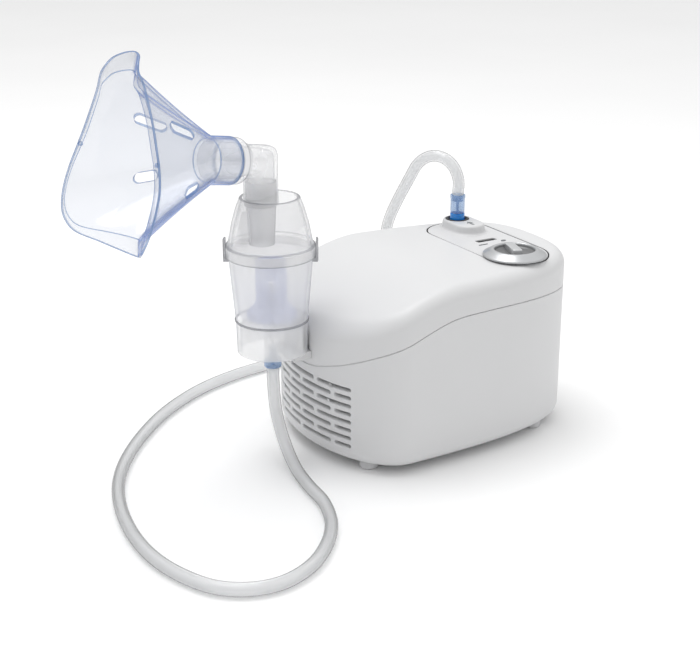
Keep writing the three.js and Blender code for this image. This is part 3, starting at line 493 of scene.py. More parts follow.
COPPER = metal("enamelled_copper", (0.50, 0.20, 0.08), 0.3, (1, 1, 9), 260.0)
BRONZE = metal("sintered_bronze", (0.50, 0.36, 0.16), 0.45)
SILICONE = plastic("silicone", (0.62, 0.59, 0.52), 0.55)
FELT = plastic("felt", (0.80, 0.79, 0.75), 0.95, grain=500.0, strength=0.8)
BROWN_WIRE = plastic("brown_wire", (0.09, 0.035, 0.015), 0.4)
BLUE_WIRE = plastic("blue_wire", (0.01, 0.06, 0.28), 0.4)
PVC = clear("clear_blue_pvc", (0.60, 0.64, 0.74), (0.05, 0.17, 0.55), (0.075, 0.88), (0.46, 0.92),
            0.4, (0.945, 0.952, 0.968), 0.13, 0.12)
PVC_EDGE = clear("clear_pvc_edge", (0.20, 0.33, 0.58), (0.06, 0.16, 0.42), (0.55, 0.92), (0.3, 0.9),
                 0.35, (0.78, 0.84, 0.93), 0.1, 0.12)
CLEAR = clear("clear_styrene", (0.97, 0.97, 0.975), (0.42, 0.43, 0.45), (0.26, 0.85), (0.6, 0.97),
              0.5, (0.985, 0.986, 0.988), 0.08, 0.12)
FROSTED = clear("frosted_plastic", (0.99, 0.99, 0.99), (0.66, 0.67, 0.69), (0.36, 0.88), (0.55, 0.98),
                0.6, (1, 1, 1), 0.25, 0.1)
CAP_CLEAR = clear("cap_plastic", (0.99, 0.99, 0.99), (0.52, 0.53, 0.55), (0.19, 0.85), (0.55, 0.97),
                  0.5, (0.985, 0.985, 0.987), 0.12, 0.12)
CHIMNEY = clear("chimney_plastic", (0.96, 0.962, 0.966), (0.24, 0.245, 0.26), (0.36, 0.92), (0.42, 0.86),
                0.4, (0.96, 0.96, 0.965), 0.12, 0.1)
FROSTED_EDGE = clear("frosted_edge", (0.42, 0.43, 0.45), (0.20, 0.205, 0.22), (0.45, 0.90), (0.4, 0.95),
                     0.45, (0.90, 0.90, 0.91), 0.15, 0.12)
TUBE = clear("tube_pvc", (0.97, 0.973, 0.977), (0.27, 0.275, 0.28), (0.36, 0.92), (0.46, 0.80),
             0.4, (0.98, 0.981, 0.983), 0.1, 0.16)
TUBE_BORE_FACE = clear("tube_bore", (0.80, 0.81, 0.82), (0.10, 0.105, 0.11), (0.22, 0.9), (0.5, 0.95),
                       0.4, (0.96, 0.962, 0.965), 0.2, 0.05)
VAPOR = clear("pale_blue_plastic", (0.70, 0.74, 0.93), (0.46, 0.52, 0.82), (0.40, 0.9), (0.5, 0.97),
              0.5, (0.90, 0.92, 1.0), 0.2, 0.1)
BLUE = clear("blue_plastic", (0.03, 0.40, 0.97), (0.01, 0.18, 0.70), (0.75, 0.97), (0.5, 0.97),
             0.35, (0.5, 0.75, 1.0), 0.12, 0.1)
PLUG = clear("blue_grey_plug", (0.30, 0.45, 0.70), (0.15, 0.27, 0.50), (0.36, 0.85), (0.5, 0.95),
             0.4, (0.80, 0.87, 0.95), 0.1, 0.12)


def dress(obj, material, body=None, replaces=()):
    """Gives a piece its finish, its body, and the CAD nodes that it stands for."""
    if obj.data.materials:
        obj.data.materials[0] = material
    else:
        obj.data.materials.append(material)
    if body:
        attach(obj, body)
    if replaces:
        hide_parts(*replaces)
    return obj


def trim(obj, material, chosen):
    """Gives one more material to the faces whose middle, in the device's frame, passes a test."""
    obj.data.materials.append(material)
    for face in obj.data.polygons:
        if chosen(*((np.array(face.center) - ORIGIN) / MM)):
            face.material_index = len(obj.data.materials) - 1


# -------- air tube and its plugs
def tube_mesh(name, centres, outer, inner, sides=24):
    """A hollow tube along a line of points, with its own turning frame carried along. Its bore takes the second
    material."""
    centres = np.asarray(centres, float)
    tangents = unit(np.gradient(centres, axis=0))
    normal = np.cross(tangents[0], (1.0, 0.3, 0.1))
    angles = np.linspace(0, 2 * math.pi, sides, endpoint=False)
    outside, inside = [], []
    for centre, tangent in zip(centres, tangents):
        normal = normal - tangent * np.dot(normal, tangent)
        normal /= np.linalg.norm(normal)
        side = np.cross(tangent, normal)
        wheel = np.outer(np.cos(angles), normal) + np.outer(np.sin(angles), side)
        outside.append(centre + outer * wheel)
        inside.append(centre + inner * wheel)
    edges = [band >= len(centres) for band in range(2 * len(centres))]
    return skin(name, outside + inside[::-1], looped=True, sharp=50.0, edges=edges)


route = evenly(catmull_rom(TUBE_ROUTE), 420)
air_tube = tube_mesh("clear_air_tube", route, TUBE_RADIUS, TUBE_BORE)
dress(air_tube, TUBE, "case", ["air_tube"])
air_tube.data.materials.append(TUBE_BORE_FACE)

kit = (KIT_X, 0)
kit_plug = turned("kit_plug_blue", [
    (0.9, 52.5), (4.65, 52.5), (4.65, 56.6), (2, 56.6), (2, 63.4), (0.9, 63.4),
], kit, 64, 0.5)
dress(kit_plug, PLUG, "case", ["kit_plug"])

outlet = (OUTLET["x"], OUTLET["y"])
outlet_plug = turned("outlet_plug_sleeve", [
    (0.9, 111.9), (4.2, 111.9), (4.2, 120.6), (4.45, 121), (4.45, 122.8), (3.3, 122.8), (3.3, 119), (0.9, 119),
], outlet, 64, 0.3)
dress(outlet_plug, PLUG, "case", ["outlet_plug"])
outlet_plug_base = turned("outlet_plug_base", [
    (0.9, 100.3), (4.3, 100.3), (4.45, 101.5), (4.3, 111.6), (0.9, 111.6),
], outlet, 64, 0.3)
dress(outlet_plug_base, BLUE, "case")

# -------- case outline and skins
nose_centre = NOSE_DEPTH - HALF_LENGTH
SIDE_STEPS, NOSE_STEPS = 56, 44


def case_outline():
    """The plan outline, counterclockwise from the middle of the tail."""
    handles = np.array([(HALF_LENGTH, 0), (HALF_LENGTH, TAIL_REACH[1]), (TAIL_REACH[0], HALF_WIDTH),
                        (nose_centre, HALF_WIDTH)], float)

    def bezier(t):
        return ((1 - t) ** 3 * handles[0] + 3 * t * (1 - t) ** 2 * handles[1]
                + 3 * t * t * (1 - t) * handles[2] + t ** 3 * handles[3])

    half = list(evenly(bezier, SIDE_STEPS + 1))
    for i in range(1, NOSE_STEPS + 1):
        angle = math.pi / 2 * (1 + i / NOSE_STEPS)
        half.append(np.array([nose_centre + NOSE_DEPTH * math.cos(angle), HALF_WIDTH * math.sin(angle)]))
    mirrored = [np.array([p[0], -p[1]]) for p in half[1:-1][::-1]]
    return np.array(half + mirrored)


OUTLINE = case_outline()


def normals_of(outline):
    along = unit(np.roll(outline, -1, axis=0) - np.roll(outline, 1, axis=0))
    return np.column_stack([along[:, 1], -along[:, 0]])


def inset(outline, distance):
    return outline - normals_of(outline) * distance


def deck(x, y):
    fall = np.maximum(0, (FALL_START - np.asarray(x, float)) / (HALF_LENGTH + FALL_START))
    return PLATEAU - DROP * fall ** FALL_POWER - CROWN * (np.asarray(y, float) / 55) ** 2


def edge_distance(x, y):
    """How far a point inside the outline is from it."""
    point = np.array([x, y])
    after = np.roll(OUTLINE, -1, axis=0)
    span = after - OUTLINE
    share = np.clip(np.sum((point - OUTLINE) * span, axis=1) / np.sum(span * span, axis=1), 0, 1)
    return float(np.min(np.linalg.norm(OUTLINE + span * share[:, None] - point, axis=1)))


def surface(x, y):
    """Height of the case's outer top skin, its rounded edge included."""
    short = TOP_ROUND - min(edge_distance(x, y), TOP_ROUND)
    return float(deck(x, y)) - TOP_ROUND + math.sqrt(TOP_ROUND ** 2 - short ** 2)


def skin_heights(flat):
    """Height of the outer top skin at each point of a flat outline."""
    return np.array([surface(x, y) for x, y in flat])


def under_skin(flat, down=0):
    """A flat outline as a ring that lies this far below the outer top skin."""
    return raised(flat, skin_heights(flat) - down)


def case_body(name, wall):
    """The case as one solid, its skin moved inward by wall."""
    outline = inset(OUTLINE, wall)
    bottom, low_round, top_round = CASE_BOTTOM + wall, BOTTOM_ROUND - wall, TOP_ROUND - wall
    spine = np.column_stack([np.clip(outline[:, 0], -50, 38), np.zeros(len(outline))])
    rings = [level(spine, bottom)]
    flat = inset(outline, low_round)
    rings.append(level(flat + (spine - flat) * 0.5, bottom))
    for i in range(9):
        angle = math.pi / 2 * i / 8
        inward, rise = low_round * (1 - math.sin(angle)), low_round * (1 - math.cos(angle))
        rings.append(level(inset(outline, inward), bottom + rise))
    for height in (30, 45):
        rings.append(level(outline, height))
    for i in range(13):
        angle = math.pi / 2 * i / 12
        ring = inset(outline, top_round * (1 - math.cos(angle)))
        down = wall + top_round * (1 - math.sin(angle))
        rings.append(raised(ring, deck(ring[:, 0], ring[:, 1]) - down))
    edge = inset(outline, top_round)
    for share in (0.06, 0.14, 0.26, 0.4, 0.55, 0.7, 0.85, 1):
        ring = edge + (spine - edge) * share
        rings.append(raised(ring, deck(ring[:, 0], ring[:, 1]) - wall))
    return skin(name, rings, caps=False, sharp=60.0)


SEAM = evenly(catmull_rom(SEAM_LINE), 120)


def below_seam(name, lift):
    """Everything below the parting line, as a slab in X-Z swept along Y."""
    outline = [(-130, -20), (-130, SEAM[0][1] + lift)] + [(x, z + lift) for x, z in SEAM]
    outline += [(130, SEAM[-1][1] + lift), (130, -20)]
    flat = np.array(outline)
    rings = [np.column_stack([flat[:, 0], np.full(len(flat), y), flat[:, 1]]) for y in (-80.0, 80.0)]
    return skin(name, rings)


def seam_groove(name):
    """A shallow V all round the parting line, so that both edges are eased."""
    middle = np.interp(OUTLINE[:, 0], SEAM[:, 0], SEAM[:, 1]) + SEAM_GAP / 2
    rings = []
    for reach, rise in ((0.4, 0.85), (-0.45, 0), (0.4, -0.85)):
        rings.append(raised(inset(OUTLINE, -reach), middle + rise))
    return skin(name, rings, looped=True)


# -------- grille
GRILLE = dict(rows=8, low=14.2, pitch=4.66, half=0.95, slot=25.6, bridge=3, span=83)


def grille_slots():
    """Slots with round ends that follow the nose, in rows like brick courses, flared at the skin."""
    angles = math.pi / 2 + math.pi * np.linspace(0, 1, 721)
    nose = np.column_stack([nose_centre + NOSE_DEPTH * np.cos(angles), HALF_WIDTH * np.sin(angles)])
    travelled = travelled_along(nose)
    travelled -= travelled[-1] / 2
    tangent = unit(np.gradient(nose, axis=0))
    outward = np.column_stack([tangent[:, 1], -tangent[:, 0]])
    half = GRILLE["half"]
    slots = []
    for row in range(GRILLE["rows"]):
        z = GRILLE["low"] + row * GRILLE["pitch"]
        start = -GRILLE["span"] / 2
        whole, part = GRILLE["slot"], GRILLE["slot"] / 2 - 1.5
        for number, length in enumerate([whole] * 3 if row % 2 else [part, whole, whole, part]):
            rings = []
            for grow, offset in ((1.3, 1.0), (0.42, 0.02), (0.14, -0.3), (0.0, -0.7), (0.0, -6.5)):
                r = half + grow
                turn = np.linspace(-math.pi / 2, math.pi / 2, 9)
                run = np.linspace(half, length - half, 15)
                ends = [(length - half + r * math.cos(a), r * math.sin(a)) for a in turn]
                back_ends = [(half - r * math.cos(a), -r * math.sin(a)) for a in turn]
                line = [(s, -r) for s in run[1:-1]] + ends + [(s, r) for s in run[::-1][1:-1]] + back_ends
                ring = []
                for along, rise in line:
                    distance = start + along
                    base = [np.interp(distance, travelled, nose[:, k]) for k in (0, 1)]
                    out = [np.interp(distance, travelled, outward[:, k]) for k in (0, 1)]
                    ring.append((base[0] + out[0] * offset, base[1] + out[1] * offset, z + rise))
                rings.append(np.array(ring))
            slots.append(skin(f"slot_{row}_{number}", rings))
            start += length + GRILLE["bridge"]
    return joined("slots", slots)


def nose_liner(name):
    """The wall is thicker behind the grille, so that its slots are deep."""
    angles = np.radians(np.linspace(112, 248, 60))
    arcs = []
    for depth in (WALL - 0.6, WALL + LINER):
        reach, spread = NOSE_DEPTH - depth, HALF_WIDTH - depth
        arcs.append([(nose_centre + reach * math.cos(a), spread * math.sin(a)) for a in angles])
    return prism(name, arcs[0] + arcs[1][::-1], 11.5, 50)


# -------- lower case
POSTS = [(-44, -50), (-44, 50), (58, -34), (58, 34)]
POST_RADIUS, SCREW_HOLE = 4.5, 1.8
FEET = [(-60, -40), (-60, 40), (50, -40), (50, 40)]
MOTOR_MOUNTS = [(-19, -36), (-19, 14), (-3, -36), (-3, 14)]
INLET = dict(low=16, high=34, half_width=12)
FILTER_Z, FILTER_RADIUS = 62, 9.5
# axes and origin that lay a body's own upright along the device's X
ALONG_X = (np.array([[0, 0, 1], [1, 0, 0], [0, 1, 0]], float), np.zeros(3))


def pegs(name, places, radius, sides, low, high):
    """Upright round bodies of one size, one at each place, as one mesh."""
    return joined(name, [prism(f"{name}_{i}", circle(x, y, radius, sides), low, high)
                         for i, (x, y) in enumerate(places)])


def filter_window(name):
    return prism(name, circle(0, FILTER_Z, FILTER_RADIUS + 0.3, 64), 70, 90, ALONG_X)


outer = case_body("outer", 0)
shell = carve(copy_of(outer, "shell"), "DIFFERENCE", case_body("inner", WALL))
low_posts = pegs("low_posts", POSTS, POST_RADIUS, 32, CASE_BOTTOM + 0.5, 30)
low_mounts = pegs("low_mounts", MOTOR_MOUNTS, 5, 32, CASE_BOTTOM + 0.5, 13.7)
screw_holes = pegs("screw_holes", POSTS, SCREW_HOLE, 24, 0, 50)
head_recesses = pegs("head_recesses", POSTS, 3.4, 32, 0, 9.6)
foot_holes = pegs("foot_holes", FEET, 2.8, 24, 0, 12)
inlet_window = block("inlet_window", (70, -INLET["half_width"] - 0.3, INLET["low"] - 0.3),
                     (90, INLET["half_width"] + 0.3, INLET["high"] + 0.3))

lower = carve(copy_of(shell, "lower_shell"), "INTERSECT", below_seam("below", 0))
carve(lower, "UNION", joined("low_pillars", [low_posts, low_mounts]), nose_liner("liner"))
carve(lower, "DIFFERENCE", grille_slots(), screw_holes, head_recesses, foot_holes, inlet_window,
      filter_window("filter_low"), seam_groove("groove_low"))
dress(lower, WHITE, "case", ["lower_case"])

FOOT_PROFILE = [(0, 0), (4.5, 0), (5.3, 0.8), (5.3, 4.7), (2.5, 4.7), (2.5, 10), (0, 10)]
for i, (x, y) in enumerate(FEET):
    foot = turned(f"rubber_foot_{i + 1}", FOOT_PROFILE, (x, y), 48, 0.6)
    dress(foot, RUBBER, "case", [f"foot_{i + 1}"])

# -------- top cover


def stepped(name, outline_at, steps):
    """A body of flat rings, each with its growth and its height. outline_at gives the outline grown by a distance."""
    return skin(name, [level(outline_at(grow), z) for grow, z in steps])


def track(spot, grow, count=40):
    """The outline of the panel or of its boss, grown by a distance."""
    return racetrack(spot["x"], spot["y"], spot["half_width"] + grow, spot["half_length"] + grow, count)


def window_outline(grow):
    half_x, half_y, corner = WINDOW["length"] / 2 + grow, WINDOW["width"] / 2 + grow, 1.1 + grow
    points = []
    for quarter, (sx, sy) in enumerate(((1, 1), (-1, 1), (-1, -1), (1, -1))):
        for k in range(7):
            angle = math.pi / 2 * (quarter + k / 6)
            points.append((WINDOW["x"] + sx * (half_x - corner) + corner * math.cos(angle),
                           WINDOW["y"] + sy * (half_y - corner) + corner * math.sin(angle)))
    return np.array(points)


def pocket_cutter(name, grow, floor):
    """The hollow that the panel lies in, its edge eased where it meets the curved skin."""
    steps = ((0, 0.5), (0.08, 0.22), (0.3, 0.02), (0.9, -0.5), (0.9, -20))
    rings = [under_skin(track(PANEL, grow + more), down) for more, down in steps]
    return skin(name, [level(track(PANEL, grow), floor)] + rings)


def panel_holes(name):
    """The holes for the knob's stem and for the outlet's collar."""
    return [prism(f"{name}_{spot['x']}", circle(spot["x"], spot["y"], radius, sides), 90, 120)
            for spot, radius, sides in ((KNOB, KNOB["stem"] + 0.4, 32), (OUTLET, OUTLET["radius"] + 0.3, 64))]


NEST_RADIUS = 19.9
nest_cut = prism("nest_cut", circle(KIT_X, 0, NEST_RADIUS, 128), SKIRT_BOTTOM - 0.6, 120)
nest_backing = prism("nest_backing", circle(KIT_X, 0, 22.3, 128), 54, 120)
carve(nest_backing, "INTERSECT", outer, keep=True)
carve(nest_backing, "DIFFERENCE", below_seam("below_nest", SEAM_GAP))
seat = prism("seat", track(PANEL, 2.6), PANEL["seat"], 120)
carve(seat, "INTERSECT", outer, keep=True)
high_posts = pegs("high_posts", POSTS, POST_RADIUS, 32, 30.3, 110)
carve(high_posts, "INTERSECT", outer, keep=True)
carve(high_posts, "DIFFERENCE", pegs("high_holes", POSTS, SCREW_HOLE, 24, 0, 50))

top = carve(copy_of(shell, "top_shell"), "DIFFERENCE", below_seam("below_top", SEAM_GAP))
carve(top, "UNION", seat, nest_backing, high_posts)
carve(top, "DIFFERENCE", nest_cut, block("holder_window", (-100, -11.3, 57.1), (-70, 11.3, 61.6)),
      pocket_cutter("pocket", PANEL["gap"], PANEL["floor"] - 0.3), *panel_holes("top_hole"),
      prism("window_top", window_outline(0), 90, 120), filter_window("filter_top"), seam_groove("groove_top"))
dress(top, WHITE, "case", ["top_cover"])


def in_panel_gap(x, y, z):
    """The two walls of the gap round the panel, below their eased edges: the faces that take the painted shade."""
    along = max(abs(y - PANEL["y"]) - PANEL["half_length"] + PANEL["half_width"], 0)
    reach = math.hypot(x - PANEL["x"], along) - PANEL["half_width"]
    return -0.1 < reach < PANEL["gap"] + 0.15 and PANEL["floor"] - 0.4 < z < surface(x, y) - 0.3


# painted shade on the top cover's walls of the gap round the panel
trim(top, PAINTED_GAP_SHADE, in_panel_gap)

# -------- control panel
steps = [(0, 0.55), (-0.06, 0.3), (-0.2, 0.12), (-0.42, 0.02), (-0.7, 0)]
steps += [(grow, 0) for grow in np.linspace(-2.5, -19.3, 12)]
rings = [under_skin(track(PANEL, grow), down) for grow, down in steps]
panel = skin("panel_plate", [level(track(PANEL, 0), PANEL["floor"])] + rings, sharp=50.0)


FILLET, CREST = 1.8, 1.5
profile = [(FILLET, -3.0), (FILLET, -0.15)]
for a in np.linspace(0.15, math.pi / 2, 8):
    profile.append((FILLET * (1 - math.sin(a)), FILLET * (1 - math.cos(a)) - 0.1))
boss_rise = BOSS["top"] - PLATEAU
for a in np.linspace(0, math.pi / 2, 8):
    profile.append((-0.4 - CREST * (1 - math.cos(a)), boss_rise - CREST + CREST * math.sin(a)))
boss_rings = []
for grow, rise in profile:
    flat = track(BOSS, grow, 32)
    share = min(max(rise / boss_rise, 0), 1)
    boss_rings.append(raised(flat, skin_heights(flat) * (1 - share) + PLATEAU * share + rise))
for shrink in (-4, -6.5, -9):
    boss_rings.append(level(track(BOSS, shrink, 32), BOSS["top"]))
carve(panel, "UNION", skin("boss", boss_rings, sharp=60.0))

# the window's edge is eased where it meets the skin
window_top, ease = surface(WINDOW["x"], WINDOW["y"]), 0.45
window_steps = [(0, 90), (0, window_top - ease), (0.12 * ease, window_top - 0.55 * ease),
                (0.45 * ease, window_top - 0.2 * ease), (ease, window_top), (ease, window_top + 25)]
carve(panel, "DIFFERENCE", *panel_holes("panel_hole"),
      stepped("window_panel", window_outline, window_steps), sharp=40.0)
dress(panel, PANEL_WHITE, "case", ["control_panel"])
# painted shade on the panel's walls of the gap round it
trim(panel, PAINTED_GAP_SHADE, in_panel_gap)

# the lens lies deep in the window; its near-black is its own colour and painted shade of the recess
lens_top = window_top - WINDOW["lens_depth"]
lens = stepped("indicator_insert", window_outline, [
    (-0.3, 95), (-0.3, lens_top - 0.6), (-0.42, lens_top - 0.15), (-0.7, lens_top)])
dress(lens, LENS_WITH_PAINTED_SHADE, "case", ["indicator_lens"])


def mark(name, outlines, height=0.12, sink=0.3):
    """Thin raised marks, each on a ground height of its own."""
    return joined(name, [prism(f"{name}_{number}", outline, ground - sink, ground + height)
                         for number, (outline, ground) in enumerate(outlines)])


dash = np.array([(33, -6.4), (39, -6.4), (39, -6.0), (33, -6.0)])
oval = circle(0, 0, 1, 24) * np.array([1.55, 1.0]) + np.array([51, -5])
arrow_head = np.array([(45, 23.2), (47.2, 20.4), (42.8, 20.4)])
arrow_tail = np.array([(45.7, 20.2), (44.3, 20.2), (44.3, 16.6), (45.7, 16.6)])
marks = mark("panel_marks", [(dash, surface(36, -6)), (oval, surface(51, -5)),
                             (arrow_head, BOSS["top"]), (arrow_tail, BOSS["top"])])
dress(marks, GREY_MARK, "case")

socket = turned("outlet_collar", [
    (1.2, 80), (2.6, 80), (2.6, 91.5), (OUTLET["radius"], 91.5), (OUTLET["radius"], 108.3), (6.4, OUTLET["top"]),
    (5.9, OUTLET["top"]), (4.95, 107), (4.95, 99.6), (1.2, 99.6),
], outlet, 72, 0.3)
dress(socket, DARK, "case", ["outlet_socket"])

# -------- knob
R = KNOB["radius"]
knob_ring = turned("knob_ring", [
    (0, 92), (KNOB["stem"], 92), (KNOB["stem"], KNOB["base"]), (R - 0.3, KNOB["base"]), (R, 104), (R - 0.4, 104.6),
    (R - 2.2, 105.6), (R - 4, 106.7), (R - 5.2, 107.3), (R - 6.0, 107.35), (R - 6.6, 106.9), (11.2, 106.2),
    (11.2, 104.2), (0, 104.2),
], (KNOB["x"], KNOB["y"]), 128, 0.5)
dress(knob_ring, SILVER, "knob", ["power_knob"])
knob_dish = turned("knob_dish", [
    (0, 104.0), (11.1, 104.0), (11.3, 106.4), (10.9, 105.4), (9.8, 104.75), (0, 104.5),
], (KNOB["x"], KNOB["y"]), 96, 0.25)
dress(knob_dish, DISH, "knob")


def blade():
    """The grip across the dish: low at one end, high at the other, with eased edges."""
    side = softened([(-10.8, 104), (6, 104), (6, 107.6), (5.4, 108.2), (-10.8, 107.4)], 0.7)
    along, across, upright = about_z(math.radians(-KNOB["turn"])).T
    centre = np.array([KNOB["x"], KNOB["y"], 0])
    middle = np.mean(np.array(side), axis=0)
    rings = []
    for offset, shrink in ((-2.7, 0.4), (-2.55, 0.12), (-2.3, 0), (2.3, 0), (2.55, 0.12), (2.7, 0.4)):
        ring = []
        for s, z in side:
            toward = middle - np.array([s, z])
            toward /= np.linalg.norm(toward)
            s, z = s + toward[0] * shrink, z + toward[1] * shrink
            ring.append(centre + along * s + across * offset + upright * z)
        rings.append(np.array(ring))
    return skin("knob_blade", rings, sharp=50.0)


dress(blade(), BLADE, "knob")

# -------- nebulizer kit: cup
cup = turned("kit_cup_frosted", [
    (2.4, 57), (4.35, 57), (4.35, 77.6), (17, 77.6), (17.2, SKIRT_BOTTOM), (18.9, SKIRT_BOTTOM), (19.3, 79.3),
    (22.4, 114.8), (22.4, 120), (21, 120), (21, 115), (17.9, 84.5), (16, 81.2), (5.4, 80.6), (4.2, 84),
    (1.9, 99.6), (0.7, 99.6), (0.7, 66), (2.4, 64.4),
], kit, 128, 0.45)


def arc_block(name, inner, outer_radius, start, end, low, high, ease=0.3, steps=16):
    section = softened([(inner, low), (outer_radius, low), (outer_radius, high), (inner, high)], ease, 3)
    rings = []
    for degrees in np.linspace(start, end, steps + 1):
        a = math.radians(degrees)
        rings.append(np.array([(KIT_X + r * math.cos(a), r * math.sin(a), z) for r, z in section]))
    return skin(name, rings)


CLIP_ANGLES = (-30, 150)
clips = []
for n, angle in enumerate(CLIP_ANGLES):
    clips.append(arc_block(f"clip_foot_{n}", 22.0, 25.0, angle - 9, angle + 9, 112.9, 114.9))
    clips.append(arc_block(f"clip_wall_{n}", 24.2, 25.2, angle - 9, angle + 9, 112.9, 124.4))
carve(cup, "UNION", *clips)
dress(cup, FROSTED, "kit", ["kit_cup"])
trim(cup, FROSTED_EDGE, lambda x, y, z: z > 112.6 and math.hypot(x - KIT_X, y) > 22.9)

bead = turned("cup_bead", [(19.0, 79.4), (19.95, 79.6), (19.95, 80.5), (19.2, 80.9)], kit, 128, 0.3)
dress(bead, FROSTED_EDGE, "kit")

graduations = []
for n, z in enumerate((88, 91.5, 95, 98.5, 102)):
    wide = 9 if n % 2 == 0 else 5.5
    radius = 19.3 + (22.4 - 19.3) * (z - 79.3) / (114.8 - 79.3)
    graduations.append(arc_block(
        f"graduation_{n}", radius - 0.4, radius + 0.12, -22, -22 + wide, z - 0.22, z + 0.22, 0.05))
dress(joined("cup_graduations", graduations), GREY_MARK, "kit")

# -------- nebulizer kit: vaporizer head
vaporizer = turned("vaporizer", [
    (0, 111.4), (7, 111.4), (7, 88), (12.2, 83), (12.2, 81.6), (13.6, 81.6), (13.4, 84), (8.3, 89.4), (8.3, 112.6),
    (0, 112.6),
], kit, 72, 0.4)
arch = softened([(96, -4.8), (104, -4.8), (107, -3.3), (108.2, 0), (107, 3.3), (104, 4.8), (96, 4.8)], 0.8)
ALONG_Y = (np.array([[0, 1, 0], [0, 0, 1], [1, 0, 0]], float), np.array([KIT_X, 0, 0], float))
carve(vaporizer, "DIFFERENCE", prism("arch", arch, -20, 20, ALONG_Y))
carve(vaporizer, "UNION", turned("baffle", [(0, 101.4), (2.2, 101.4), (2.8, 103), (2.8, 112), (0, 112)], kit, 40, 0.3))
dress(vaporizer, VAPOR, "kit", ["vaporizer_head"])

# -------- nebulizer kit: cap
CAP_SIDE = [(22.6, 122.2), (21.9, 126), (20.4, 133.5), (18.3, 141), (15.9, 147.3)]
cap = turned("kit_cap_frosted", [
    (22.75, 115.3), (23.9, 115.3), (23.9, 121.6), *CAP_SIDE, (14.5, 147.3),
    *[(r - 1.5, z - 0.3) for r, z in CAP_SIDE[:-1][::-1]], (22.75, 120.6),
], kit, 128, 0.5)
chimney = turned("chimney", [
    (5.6, 122.4), (6.8, 122.4), (7.7, 142.6), (8, 144), (8, CHIMNEY_TOP), (6.8, CHIMNEY_TOP), (6.6, 143),
], (KIT_X + CHIMNEY_OFFSET, 0), 72, 0.3)
web = block("web", (KIT_X - 22, -0.8, 124), (KIT_X + CHIMNEY_OFFSET - 6.2, 0.8, 141))
inside = turned("cap_inside", [(0, 123), (21.4, 123), (19.6, 133.5), (17.4, 141), (0, 141)], kit, 64, 0.01)
carve(web, "INTERSECT", inside)
carve(cap, "UNION", chimney, web)
dress(cap, CAP_CLEAR, "cap", ["kit_cap"])


def on_cap_edge(x, y, z):
    """The cap's mouth, and the two edges of its band."""
    radius = math.hypot(x - KIT_X, y)
    return radius > 13.6 and (z > 146.6 or (radius > 22.8 and (z < 115.75 or 121.0 < z < 122.1)))


trim(cap, FROSTED_EDGE, on_cap_edge)
trim(cap, CHIMNEY, lambda x, y, z: math.hypot(x - KIT_X - CHIMNEY_OFFSET, y) < 8.1)

# -------- elbow
rise = math.radians(ARM_RISE)
SPIN = about_z(math.radians(ELBOW_TURN))
ELBOW_AT = np.array([KIT_X + CHIMNEY_OFFSET, 0, 0], float)
ARM_AXES = np.array([(0, -1, 0), (math.sin(rise), 0, math.cos(rise)), (-math.cos(rise), 0, math.sin(rise))]).T
STEM = (SPIN, ELBOW_AT)
ARM = (SPIN @ ARM_AXES, SPIN @ np.array([0, 0, ARM_HEIGHT]) + ELBOW_AT)
elbow = turned("elbow_clear", [
    (0, 143.3), (9.1, 143.3), (9.1, 170.2), (8.3, 172.8), (6.2, 174.2), (0, 174.6),
], basis=STEM, soften=1.2)
carve(elbow, "UNION", turned("elbow_arm", [
    (0, -1), (8.8, -1), (8.8, 9), (9.5, 12.5), (12, 16.4), (12, 20.2), (10.9, 20.2), (10.7, 33), (0, 33),
], basis=ARM, soften=0.5))
carve(elbow, "DIFFERENCE", turned("stem_bore", [
    (0, 140), (8.35, 140), (8.35, CHIMNEY_TOP + 0.5), (7.2, CHIMNEY_TOP + 0.5), (7.2, 169.4), (5.6, 172), (0, 172.6),
], basis=STEM, soften=0.4), turned("arm_bore", [
    (0, 0), (7.3, 0), (7.3, 10), (9.4, 17), (9.4, 36), (0, 36),
], basis=ARM, soften=0.4))
dress(elbow, CLEAR, "elbow", ["elbow"])


def on_collar_edge(x, y, z):
    """The two rims of the elbow's collar, next to the mask."""
    u, v, along = ARM[0].T @ (np.array([x, y, z]) - ARM[1])
    return math.hypot(u, v) > 11.2 and (abs(along - 16.4) < 0.6 or along > 19.7)


trim(elbow, FROSTED_EDGE, on_collar_edge)

# -------- mask
rim = evenly(catmull_rom(MASK_RIM + [(-x, y, z) for x, y, z in MASK_RIM[1:-1][::-1]], closed=True), 200, closed=True)
rim_length = np.hypot(rim[:, 0], rim[:, 1])
lip = MASK_LIP["side"] + (MASK_LIP["tips"] - MASK_LIP["side"]) * np.abs(rim[:, 1] / rim_length) ** MASK_LIP["spread"]


def mask_ring(share, grow, shift, lip_share=0.0):
    radius = MASK_PORT["outer"] + (rim_length - lip - MASK_PORT["outer"]) * share + grow + lip * lip_share
    depth = MASK_PORT["end"] + (rim[:, 2] - MASK_PORT["end"]) * share + shift
    ring = np.column_stack([rim[:, 0] / rim_length * radius, rim[:, 1] / rim_length * radius, depth])
    return ring @ ARM[0].T + ARM[1]


def waist(share):
    return -0.8 * math.sin(math.pi * share)


port_inset = MASK_PORT["inner"] - MASK_PORT["outer"]
port_shift = MASK_PORT["start"] - MASK_PORT["end"]
shares = np.linspace(0, 1, 16)[1:-1] ** 1.1
EDGE_LINE = 0.5
